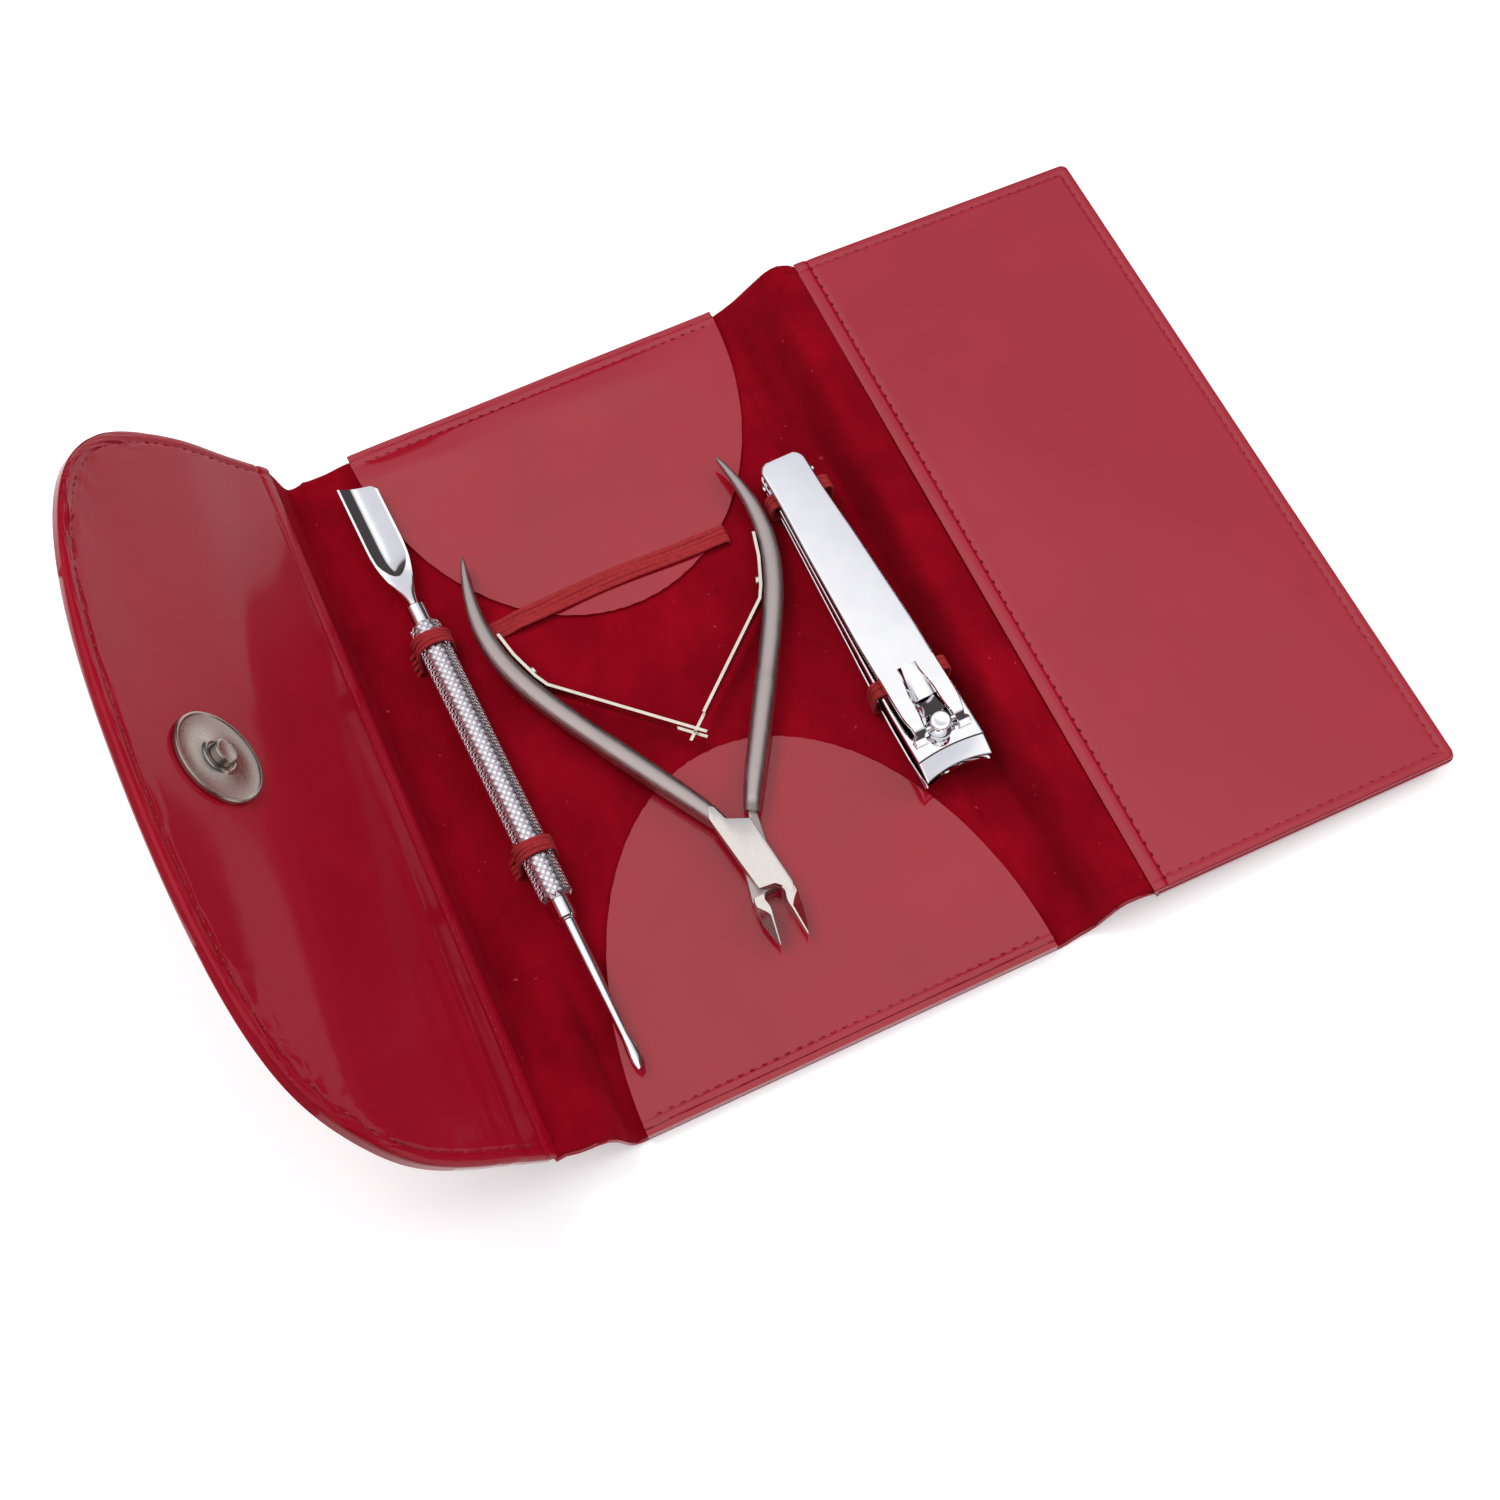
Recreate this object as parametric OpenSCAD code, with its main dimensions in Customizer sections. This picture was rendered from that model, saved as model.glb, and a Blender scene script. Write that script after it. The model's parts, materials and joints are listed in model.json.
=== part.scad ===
// Manicure set case: a three-fold leather case lying open, with its pusher,
// nipper and nail clipper. Millimetres. The origin is the centre of the back
// panel's underside, +Y runs along the fold lines and +Z is up.

/* [Case] */
// Length of the case along its fold lines
case_h = 155; // [130:1:190]
// Width of the stiff back panel
back_w = 82.4; // [78:0.2:100]
// Soft margin of the back panel on the flap side
margin_flap = 7; // [6.6:0.1:10]
// Soft margin of the back panel on the front panel side
margin_front = 6.8; // [6.8:0.1:10]
// Width of the front panel
front_w = 65; // [58:0.5:80]
// Height of the front panel's inner edge above the table
front_edge_z = 8.2; // [7:0.1:9]
// Level distance from the front fold line to the front panel's inner edge
front_edge_run = 13.4; // [11:0.1:14]
// Width of each half of the front gusset
front_gusset_w = 8.5; // [8.3:0.1:11]
// Width of the flap gusset's lower half
flap_gusset_lower_w = 7; // [5:0.5:10]
// Width of the flap gusset's upper half
flap_gusset_upper_w = 11.1; // [8:0.1:14]
// Slope of the flap gusset's upper half
flap_gusset_slope = 81.7; // [70:0.1:90]
// Length of the flap from its fold line to its tip
flap_len = 66.6; // [62:0.2:80]
// Slope of the standing flap
flap_slope = 57.3; // [40:0.1:75]

/* [Leather] */
// Thickness of the patent leather
leather_t = 0.8; // [0.6:0.1:1.2]
// Thickness of the velvet lining
velvet_t = 0.7; // [0.5:0.1:1]
// Thickness of the stiffening boards
board_t = 1; // [0.8:0.1:1.6]
// Width of the turned leather edge round each board
turn_in = 1.4; // [1:0.1:3]
// Distance from the case's middle to the lip of the upper pocket
upper_lip = 20.5; // [16:0.5:30]
// Distance from the case's middle to the lip of the lower pocket
lower_lip = 14.5; // [8:0.5:30]
// Width of the hem along the front panel's inner edge
hem_w = 4; // [3:0.2:8]

/* [Elastic] */
// Width of the elastic tape
tape_w = 3.2; // [2:0.1:5]
// Thickness of the elastic tape
tape_t = 0.8; // [0.6:0.1:1]
// Place of the three upper elastics along the case
upper_tape_y = 27; // [22:0.5:29]
// Place of the lower elastics along the case
lower_tape_y = -20; // [-24:0.5:-14]
// Left end of the nipper band
band_left_x = -29.2; // [-32:0.2:-26]
// Right end of the nipper band
band_right_x = 22.3; // [18:0.2:24]

/* [Snap] */
// Diameter of the snap disc and socket
snap_d = 18; // [14:0.5:20]
// Distance of the snap disc from the flap's fold line
snap_from_fold = 45.9; // [38:0.1:52]
// Distance of the snap socket from the front panel's inner edge
socket_from_edge = 50; // [44:0.1:53]
// Thickness of the snap disc
disc_t = 1.15; // [0.8:0.05:1.5]
// Thickness of the snap socket
socket_t = 2.7; // [2.2:0.1:3.5]
// Diameter of the snap post
post_d = 4.8; // [4:0.1:6]
// Height of the snap post above its disc
post_h = 3; // [2:0.1:3.2]
// Clearance of the post in its socket
post_clear = 0.3; // [0.1:0.05:0.5]

/* [Pusher] */
// Diameter of the pusher's knurled handle
handle_d = 6.3; // [5:0.1:7]
// Length of the pusher's knurled handle
handle_len = 62.2; // [56:0.2:68]
// Length of the pusher's spoon end, with its ferrule
spoon_len = 36; // [28:0.5:40]
// Length of the pusher's pick end, with its ferrule
pick_len = 35.3; // [26:0.5:40]
// Width of the spoon
spoon_w = 7.6; // [6:0.1:8]

/* [Nipper] */
// Distance from the nipper's pivot to its handle tips
nipper_handle_len = 82.5; // [76:0.5:84]
// Distance from the nipper's pivot to its jaw tips
jaw_len = 17.25; // [14:0.25:20]
// Thickness of the nipper at its joint
nipper_t = 5.4; // [4.6:0.1:5.6]
// Diameter of the nipper's pivot
pivot_d = 3.2; // [2.4:0.1:4]
// Thickness of the leaf springs
leaf_t = 0.6; // [0.4:0.1:0.8]
// Height of the leaf springs
leaf_h = 3.4; // [2.6:0.1:4]
// Angle that the jaws close through
jaw_close = 17; // [15:0.5:18]

/* [Clipper] */
// Length of the clipper's arms
arm_len = 75.3; // [70:0.1:80]
// Width of the clipper at its jaws
jaw_w = 13.8; // [12:0.1:14]
// Width of the clipper at its tail
tail_w = 9.8; // [8:0.1:11]
// Thickness of the clipper's lower arm
lower_arm_t = 1.6; // [1.2:0.1:1.6]
// Thickness of the clipper's upper arm
upper_arm_t = 1.5; // [1.2:0.1:1.5]
// Slope of the upper arm and lever
arm_slope = 3.4; // [3:0.1:3.6]
// Thickness of the lever
lever_t = 1; // [0.8:0.1:1.2]
// Diameter of the clipper's turning pin
turn_pin_d = 3.6; // [3:0.1:4]
// Diameter of the tail pin
tail_pin_d = 1.6; // [1.2:0.1:1.8]

/* [Hidden] */

$fn = 64;
patent_red = "#9c1020";
velvet_red = "#7d0a16";
elastic_red = "#a03535";
card = "#cbb99a";
steel = "#c8c8c8";
dark_steel = "#9a9a9a";
brass_steel = "#c9bda0";

// Half of the gap at a fold line, and the gap between pieces that lie together
fold_gap = 0.15;
soft_gap = 0.3;
run_gap = 0.05;
eps = 0.01;

// Layer heights of the back panel
margin_z = leather_t + velvet_t;
lining_z = leather_t + board_t + velvet_t;
pocket_z = lining_z + leather_t;

// Fold lines of the flap side, as x and z in the section across the case
fold_a = [-back_w / 2 - margin_flap, margin_z];
fold_e = fold_a + [-flap_gusset_lower_w, 0];
fold_f = fold_e + flap_gusset_upper_w * [-cos(flap_gusset_slope), sin(flap_gusset_slope)];

// Fold lines of the front side. The crest turns about the gusset's outer
// face and the other two about its inner face, so each half is a link
// from an inner fold line to the crest.
gusset_t = leather_t + velvet_t;
fold_b = [back_w / 2 + margin_front, margin_z];
fold_d = [fold_b.x + front_edge_run, front_edge_z];
link = norm([front_gusset_w, gusset_t]);
link_turn = atan(gusset_t / front_gusset_w);
span = norm(fold_d - fold_b);
span_slope = atan2(fold_d.y - fold_b.y, fold_d.x - fold_b.x);
half_bend = acos(span / 2 / link);
slope_lower = span_slope + half_bend + link_turn;
slope_upper = span_slope - half_bend - link_turn;
fold_c = fold_b + link * [cos(span_slope + half_bend), sin(span_slope + half_bend)];
crest_upper = fold_c + gusset_t * [-sin(slope_upper), cos(slope_upper)];

// The front panel's layers, and its slope down to the socket it rests on
front_t = 3 * leather_t + board_t - 0.2;
front_lining_t = front_t - 2 * leather_t - board_t;
rest_reach = socket_from_edge + snap_d / 2;
rest_depth = front_t + socket_t;
rest_norm = norm([rest_reach, rest_depth]);
front_tilt = asin(front_edge_z / rest_norm) - atan(rest_depth / rest_reach);
flap_t = 2 * leather_t + board_t;

washer_r = 6.5;
washer_t = 0.5;
post_hole_r = post_d / 2 + post_clear;

// Frame of a flat piece that starts at a fold line: local x runs away from
// the back panel, local z is its inner face's normal
module at_fold(fold, slope, side) {
    translate([fold.x, 0, fold.y]) rotate([0, -slope, side < 0 ? 180 : 0]) children();
}
// A box between two corners
module box(low, high) {
    translate(low) cube(high - low);
}
// A section in x and z drawn along the case, centred on y
module along(length) {
    rotate([90, 0, 0]) translate([0, 0, -length / 2]) linear_extrude(length) children();
}

// Closed skin through rings of points, each ring with the same count
module loft(rings) {
    count = len(rings[0]);
    last = len(rings) - 1;
    walls = [for (ring = [0 : last - 1]) for (k = [0 : count - 1])
        [ring * count + k, ring * count + (k + 1) % count,
         (ring + 1) * count + (k + 1) % count, (ring + 1) * count + k]];
    low_cap = [for (k = [count - 1 : -1 : 0]) k];
    high_cap = [for (k = [0 : count - 1]) last * count + k];
    polyhedron([for (ring = rings) each ring], concat([low_cap], walls, [high_cap]), convexity = 4);
}

// Back panel: leather slab with turned edges at both ends, the board
// between them, and velvet over the board and down onto both margins
board_x = back_w / 2 - turn_in;
board_y = case_h / 2 - turn_in;
back_left = fold_a.x + fold_gap;
back_right = fold_b.x - fold_gap;

module back_outer() {
    color(patent_red) {
        box([back_left, -case_h / 2, 0], [back_right, case_h / 2, leather_t]);
        for (side = [-1, 1])
            translate([-board_x, side > 0 ? board_y : -case_h / 2, leather_t - eps])
                cube([2 * board_x, turn_in, board_t + eps]);
    }
}
module back_board() {
    color(card) box([-board_x, -board_y, leather_t], [board_x, board_y, leather_t + board_t]);
}
module back_lining() {
    under = leather_t;
    over = leather_t + board_t;
    slope_x = board_x + velvet_t;
    section = [[back_left, under], [-board_x, under], [-board_x, over], [board_x, over],
        [board_x, under], [back_right, under], [back_right, margin_z],
        [slope_x + velvet_t, margin_z], [slope_x, lining_z], [-slope_x, lining_z],
        [-slope_x - velvet_t, margin_z], [back_left, margin_z]];
    color(velvet_red) along(case_h - 0.6) polygon(section);
}

// Half-oval pocket leather, sewn along the panel's end
module pocket(lip) {
    depth = case_h / 2 - lip;
    mouth = [for (a = [0 : 4 : 180]) [back_w / 2 * cos(a), -depth * sin(a)]];
    color(patent_red) translate([0, case_h / 2, lining_z]) linear_extrude(leather_t) polygon(mouth);
}
module upper_pocket() pocket(upper_lip);
module lower_pocket() mirror([0, 1, 0]) pocket(lower_lip);

// Elastic tape sewn down at both ends. The pusher's loops are arches round
// its handle, the clipper's run over its arms and under its lever.
pusher_x0 = -back_w / 2 + 1.53;
pusher_lean = 0.0333;
pusher_turn = atan(pusher_lean);
pusher_z = pocket_z + handle_d / 2 + soft_gap / 2;
loop_r = handle_d / 2 + soft_gap;
loop_foot = 1.4;
function pusher_x(y) = pusher_x0 - pusher_lean * y;

module pusher_loop(y) {
    outer_r = loop_r + tape_t;
    color(elastic_red) translate([pusher_x(y), y, 0]) along(tape_w) {
        difference() {
            union() {
                translate([0, pusher_z]) circle(outer_r);
                translate([-outer_r, margin_z]) square([outer_r, pusher_z - margin_z]);
                translate([0, lining_z]) square([outer_r, pusher_z - lining_z]);
                translate([-outer_r - loop_foot, margin_z]) square([outer_r, tape_t]);
            }
            translate([0, pusher_z]) circle(loop_r);
            translate([-loop_r, 0]) square([2 * loop_r, pusher_z]);
        }
    }
}
module pusher_loop_upper() pusher_loop(upper_tape_y);
module pusher_loop_lower() pusher_loop(lower_tape_y);

// The band crosses the upper pocket's mouth. Each foot stands on what lies
// under it: the pocket, where that reaches so far out, or the velvet.
band_left_foot = 2;
band_right_foot = 0.7;
band_rise = 4;
mouth_share = (case_h / 2 - upper_tape_y - tape_w / 2) / (case_h / 2 - upper_lip);
mouth_x = mouth_share < 1 ? back_w / 2 * sqrt(1 - mouth_share * mouth_share) + run_gap : 0;
function band_floor(x) = abs(x) < mouth_x ? pocket_z : lining_z;

module nipper_band() {
    high = pocket_z + soft_gap / 2;
    left_in = band_left_x + band_left_foot;
    left_low = band_floor(left_in);
    risen = left_low == pocket_z ? left_in + band_rise : min(left_in + band_rise, -mouth_x);
    right_in = band_right_x - band_right_foot;
    right_low = band_floor(right_in);
    section = [[band_left_x, left_low], [left_in, left_low], [risen, high],
        [right_in, high], [right_in, right_low], [band_right_x, right_low], [band_right_x, high],
        [right_in, high + tape_t], [risen, high + tape_t],
        [left_in - tape_t, left_low + tape_t], [band_left_x, left_low + tape_t]];
    color(elastic_red) translate([0, upper_tape_y, 0]) along(tape_w) polygon(section);
}

// Clipper frame: u runs from the tail to the jaws, w is up from the lower
// arm's underside. The slot between upper arm and lever takes the tape.
pin_foot_h = 0.8;
slot_room = 0.35;
clipper_z = lining_z + pin_foot_h + slot_room;
clipper_x0 = back_w / 2 - 2.73;
clipper_lean = 0.0282;
clipper_turn = atan(clipper_lean);
clipper_tail_y = 34.8;
slot_h = tape_t + 2 * slot_room;
arm_gap = 0.1;
arm_base_w = lower_arm_t + arm_gap;
function clipper_x(y) = clipper_x0 - clipper_lean * y;
function arm_top(u) = arm_base_w + upper_arm_t + u * tan(arm_slope);
function arm_half(u) = tail_w / 2 + (jaw_w - tail_w) / 2 * min(1, max(0, u - 10) / (arm_len - 25));

module in_clipper() {
    translate([clipper_x(clipper_tail_y), clipper_tail_y, clipper_z])
        rotate([0, 0, 180 + clipper_turn]) rotate([0, 0, 90]) children();
}

// A loop's left foot is on the velvet over the board, its right foot on the
// margin, and both are turned in under the clipper
turned_foot = 2.2;
turned_t = 0.6;
bend = 0.4;
module clipper_loop(y, left_room, right_room) {
    u = clipper_tail_y - y;
    x = clipper_x(y);
    left = x - arm_half(u) - left_room;
    right = x + arm_half(u) + right_room;
    low = clipper_z + arm_top(u) + slot_room;
    top = low + tape_t;
    section = [[left - tape_t, lining_z], [left + turned_foot, lining_z],
        [left + turned_foot, lining_z + turned_t], [left, lining_z + turned_t],
        [left, low - bend], [left + bend, low], [right - bend, low], [right, low - bend],
        [right, margin_z + turned_t], [right - turned_foot, margin_z + turned_t],
        [right - turned_foot, margin_z], [right + tape_t, margin_z],
        [right + tape_t, top - tape_t], [right, top], [left, top], [left - tape_t, top - tape_t]];
    color(elastic_red) translate([0, y, 0]) along(tape_w) polygon(section);
}
// The tail pin's ends stand out of the arms, further on the right
nub_right = 1.4;
nub_left = 0.4;
side_room = 0.5;
module clipper_loop_upper() {
    clipper_loop(upper_tape_y, nub_left + slot_room, nub_right + slot_room);
}
module clipper_loop_lower() clipper_loop(lower_tape_y, side_room, side_room);

// Two-layer gusset halves, short of their fold lines by the fold gap
gusset_y = case_h / 2 - 0.5;
module gusset_outer(fold, slope, side, width, trim = fold_gap) {
    color(patent_red) at_fold(fold, slope, side)
        box([fold_gap, -gusset_y, -gusset_t], [width - trim, gusset_y, -velvet_t]);
}
module gusset_lining(fold, slope, side, width, trim = fold_gap) {
    color(velvet_red) at_fold(fold, slope, side)
        box([fold_gap, -gusset_y, -velvet_t], [width - trim, gusset_y, 0]);
}
module front_gusset_lower_outer() gusset_outer(fold_b, slope_lower, 1, front_gusset_w);
module front_gusset_lower_lining() gusset_lining(fold_b, slope_lower, 1, front_gusset_w);
module front_gusset_upper_outer() gusset_outer(crest_upper, slope_upper, 1, front_gusset_w);
module front_gusset_upper_lining() gusset_lining(crest_upper, slope_upper, 1, front_gusset_w);

// Front panel, upper face down to lower face: facing with its hem, lining,
// board, outer leather. The snap socket hangs below it.
module in_front() at_fold(fold_d, -front_tilt, 1) children();
front_y = case_h / 2;
front_in_y = front_y - turn_in;
facing_low = -leather_t;
front_lining_low = facing_low - front_lining_t;
front_board_low = front_lining_low - board_t;

module front_facing() {
    color(patent_red) in_front() {
        box([fold_gap, -front_y, facing_low], [front_w, front_y, 0]);
        box([fold_gap, -front_in_y, front_lining_low], [hem_w, front_in_y, facing_low + eps]);
    }
}
module front_lining() {
    color(velvet_red) in_front()
        box([hem_w, -front_in_y, front_lining_low], [front_w - turn_in, front_in_y, facing_low]);
}
module front_board() {
    color(card) in_front() difference() {
        box([turn_in, -front_in_y, front_board_low], [front_w - turn_in, front_in_y, front_lining_low]);
        translate([socket_from_edge, 0, front_board_low - eps]) cylinder(r = washer_r, h = washer_t + eps);
    }
}
module front_outer() {
    color(patent_red) in_front() difference() {
        box([fold_gap, -front_y, -front_t], [front_w, front_y, facing_low]);
        box([turn_in, -front_in_y, front_board_low], [front_w - turn_in, front_in_y, 1]);
        box([fold_gap - 1, -front_in_y, front_lining_low], [hem_w, front_in_y, 1]);
        translate([socket_from_edge, 0, -front_t - 1]) cylinder(r = post_hole_r, h = 3);
    }
}
socket_wall = 0.6;
socket_bevel = 0.5;
module snap_socket() {
    color(steel) in_front() translate([socket_from_edge, 0, -front_t - socket_t]) difference() {
        union() {
            cylinder(r1 = snap_d / 2 - socket_bevel, r2 = snap_d / 2, h = socket_bevel);
            translate([0, 0, socket_bevel]) cylinder(d = snap_d, h = socket_t - socket_bevel);
        }
        translate([0, 0, -1]) cylinder(r = post_hole_r, h = socket_t + 2);
        translate([0, 0, socket_wall]) difference() {
            cylinder(r = snap_d / 2 - socket_wall, h = socket_t);
            translate([0, 0, -1]) cylinder(r = post_hole_r + socket_wall, h = socket_t + 2);
        }
    }
}
module snap_magnet() {
    color(dark_steel) in_front() translate([socket_from_edge, 0, -front_t - socket_t + socket_wall])
        difference() {
            cylinder(r = snap_d / 2 - socket_wall, h = socket_t - socket_wall);
            translate([0, 0, -1]) cylinder(r = post_hole_r + socket_wall, h = socket_t + 2);
        }
}
module washer(low) {
    difference() {
        translate([0, 0, low]) cylinder(r = washer_r, h = washer_t);
        translate([0, 0, low - 1]) cylinder(r = post_hole_r, h = washer_t + 2);
    }
}
module socket_washer() {
    color(steel) in_front() translate([socket_from_edge, 0, 0]) washer(front_board_low);
}

// Flap gusset and flap
module flap_gusset_lower_outer() gusset_outer(fold_a, 0, -1, flap_gusset_lower_w);
module flap_gusset_lower_lining() gusset_lining(fold_a, 0, -1, flap_gusset_lower_w);
flap_trim = 0.45;
module flap_gusset_upper_outer() {
    gusset_outer(fold_e, flap_gusset_slope, -1, flap_gusset_upper_w, flap_trim);
}
module flap_gusset_upper_lining() {
    gusset_lining(fold_e, flap_gusset_slope, -1, flap_gusset_upper_w, flap_trim);
}

// Flap outline: a superellipse quadrant on each side of the middle
flap_start = 0.6;
flap_end_inset = 1.5;
flap_end_power = 2.2;
flap_side_power = 4.5;
function flap_reach(y, half, reach) =
    reach * pow(1 - pow(abs(y) / half, flap_end_power), 1 / flap_side_power);
module flap_outline(inset = 0) {
    half = case_h / 2 - flap_end_inset - inset;
    steps = 40;
    rim = [for (k = [-steps : steps]) let (y = half * sin(90 * k / steps))
        [max(flap_start + inset, flap_reach(y, half, flap_len - inset)), y]];
    polygon(concat([[flap_start + inset, -half]], rim, [[flap_start + inset, half]]));
}
module in_flap() at_fold(fold_f, flap_slope, -1) children();

module flap_facing() {
    color(patent_red) in_flap() translate([0, 0, -leather_t]) linear_extrude(leather_t) flap_outline();
}
module flap_board() {
    color(card) in_flap() difference() {
        translate([0, 0, -leather_t - board_t]) linear_extrude(board_t) flap_outline(turn_in);
        translate([snap_from_fold, 0, -leather_t - washer_t]) cylinder(r = washer_r, h = washer_t + 1);
    }
}
module flap_outer() {
    color(patent_red) in_flap() difference() {
        translate([0, 0, -flap_t]) linear_extrude(flap_t - leather_t) flap_outline();
        translate([0, 0, -leather_t - board_t]) linear_extrude(board_t + 1) flap_outline(turn_in);
    }
}
disc_bevel = 0.4;
collar_h = 0.2;
module snap_disc() {
    post_r = post_d / 2;
    color(steel) in_flap() translate([snap_from_fold, 0, 0]) {
        cylinder(d = snap_d, h = disc_t - disc_bevel);
        translate([0, 0, disc_t - disc_bevel])
            cylinder(r1 = snap_d / 2, r2 = snap_d / 2 - 1.5 * disc_bevel, h = disc_bevel);
        translate([0, 0, disc_t - eps]) cylinder(r1 = post_r + 2 * disc_bevel, r2 = post_r, h = collar_h);
        translate([0, 0, disc_t - eps]) cylinder(r = post_r, h = post_h - disc_bevel + eps);
        translate([0, 0, disc_t + post_h - disc_bevel])
            cylinder(r1 = post_r, r2 = post_r - disc_bevel, h = disc_bevel);
    }
}
module disc_washer() {
    color(steel) in_flap() translate([snap_from_fold, 0, 0]) washer(-leather_t - washer_t);
}

// Pusher: v runs along the tool from the handle's middle towards the spoon
handle_mid_y = -0.1;
module in_pusher() {
    translate([pusher_x(handle_mid_y), handle_mid_y, pusher_z]) rotate([0, 0, pusher_turn])
        rotate([-90, 0, 0]) children();
}
ferrule_r = 2;
spoon_ferrule_len = 5.8;
pick_ferrule_len = 4.1;
handle_bevel = 0.6;
module pusher_handle() {
    handle_r = handle_d / 2;
    color(steel) in_pusher() translate([0, 0, -handle_len / 2]) {
        cylinder(r1 = handle_r - handle_bevel, r2 = handle_r, h = handle_bevel);
        translate([0, 0, handle_bevel]) cylinder(r = handle_r, h = handle_len - 2 * handle_bevel);
        translate([0, 0, handle_len - handle_bevel])
            cylinder(r1 = handle_r, r2 = handle_r - handle_bevel, h = handle_bevel);
    }
}
// Spoon sections: half width, depth below and height above the axis, for a
// share of the blade's length. The hollow opens past the neck.
neck_r = 1.45;
spoon_depth = 0.75;
spoon_tip_slant = 0.34;
function ease(t) = let (c = min(1, max(0, t))) c * c * (3 - 2 * c);
function spoon_half(t) = neck_r + (spoon_w / 2 - neck_r) * ease(t / 0.55);
function spoon_low(t) = neck_r + spoon_depth * ease(t / 0.5);
function spoon_top(t) = neck_r + eps - 2 * neck_r * ease((t - 0.2) / 0.22);
function spoon_ring(t, start, length) = [for (a = [0 : 15 : 345])
    let (x = spoon_half(t) * cos(a), s = sin(a), y = s < 0 ? spoon_low(t) * s : spoon_top(t) * s,
        slant = spoon_tip_slant * x * ease((t - 0.6) / 0.4))
    [x, -y, start + t * length - slant]];
module pusher_spoon() {
    start = handle_len / 2;
    blade = spoon_len - spoon_ferrule_len;
    color(steel) in_pusher() {
        translate([0, 0, start]) cylinder(r = ferrule_r, h = spoon_ferrule_len);
        loft([for (k = [0 : 22]) spoon_ring(k / 22, start + spoon_ferrule_len - eps, blade)]);
    }
}
// Pick sections: share of the shank's length, half width and half height
pick_taper = [[0, 1.4, 1.4], [0.75, 0.85, 0.85], [0.84, 1.1, 0.8], [0.92, 1.15, 0.55], [1, 0.8, 0.15]];
pick_tip_slant = 0.5;
function pick_ring(row, start, length) = [for (a = [0 : 22.5 : 337.5])
    let (side = row[1] * cos(a))
    [side, -row[2] * sin(a), -start - row[0] * length + pick_tip_slant * side * row[0]]];
module pusher_pick() {
    start = handle_len / 2 + pick_ferrule_len;
    color(steel) in_pusher() {
        translate([0, 0, -start]) cylinder(r = ferrule_r, h = pick_ferrule_len);
        loft([for (k = [4 : -1 : 0]) pick_ring(pick_taper[k], start - eps, pick_len - pick_ferrule_len)]);
    }
}

// Nipper frame: the pivot is the origin and the handles open towards +Y.
// Each half has one handle, half of the lap joint and the far jaw, and the
// two halves are the same shape turned over.
half_t = nipper_t / 2;
nipper_at = [-2.2, -39.5, pocket_z + half_t + soft_gap];
nipper_turn = -0.98;
lap_gap = 0.06;
pivot_skin = 0.4;
jaw_line = tan(jaw_close / 2);
blade_gap = 0.04;
module in_nipper() translate(nipper_at) rotate([0, 0, nipper_turn]) children();

// Handle centre line with half width and half height, from joint to tip,
// as shares of the handle's length where it matters
reach = nipper_handle_len / 82.5;
handle_line = [[4.6, 12.3, 2, 2.5], [7.2, 16.6, 2.1, 2.5], [10.4, 22, 2.15, 2.45], [14, 28.2, 2.2, 2.3],
    [17.6, 34.4, 2.2, 2.15], [22.2, 42.4, 2.2, 2.1], [26.4, 50.8, 2.2, 2], [28.9, 58, 2.1, 1.8],
    [30, 65, 1.9, 1.6], [29.8, 71.5, 1.5, 1.4], [28.8, 77.5, 1.05, 1.1], [27.5, 82.5, 0.45, 0.6]];
function line_way(k) = let (last = len(handle_line) - 1, a = handle_line[max(0, k - 1)],
    b = handle_line[min(last, k + 1)]) [b[0] - a[0], b[1] - a[1]] / norm([b[0] - a[0], b[1] - a[1]]);
function handle_ring(k) = let (row = handle_line[k], way = line_way(k))
    [for (j = [0 : 13]) let (a = 360 * j / 14, side = row[2] * cos(a))
        [reach * -row[0] - side * way.y, reach * row[1] - side * way.x, row[3] * sin(a)]];

module nipper_half(bore) {
    plate = [[-5.2, 10.2], [-4.2, 12.6], [-3.2, 12.1], [-2.25, 8.7], [2, 6.9], [4.1, -9.2],
        [2.7, -10.6], [1.9, -8.4], [-2.2, -6.3]];
    jaw = [[2.7, -8.6], [4.1, -9.2], [4.35, -10], [jaw_line * jaw_len + blade_gap, -jaw_len],
        [jaw_line * 12 + blade_gap, -12], [2.7, -10.6]];
    shank = [[-5.6, 10.4], [-6.6, 12.6], [-4.6, 13.6], [-2.7, 12.4], [-3.2, 10.6]];
    difference() {
        union() {
            loft([for (k = [len(handle_line) - 1 : -1 : 0]) handle_ring(k)]);
            translate([0, 0, lap_gap / 2]) linear_extrude(half_t - lap_gap / 2) polygon(plate);
            translate([0, 0, -half_t]) linear_extrude(nipper_t) polygon(jaw);
            translate([0, 0, -half_t * 0.8]) linear_extrude(half_t * 1.8) polygon(shank);
        }
        translate([0, 0, -nipper_t]) cylinder(r = bore, h = nipper_t + half_t - pivot_skin);
    }
}
module nipper_left_half() {
    color(steel) in_nipper() nipper_half(pivot_d / 2);
}
module nipper_right_half() {
    color(steel) in_nipper() rotate([0, 180, 0]) difference() {
        nipper_half(0.01);
        translate([0, 0, -nipper_t]) cylinder(r = pivot_d / 2 + run_gap, h = 2 * nipper_t);
    }
}
module nipper_pivot() {
    color(dark_steel) in_nipper() translate([0, 0, -half_t]) cylinder(d = pivot_d, h = nipper_t - pivot_skin);
}

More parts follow.
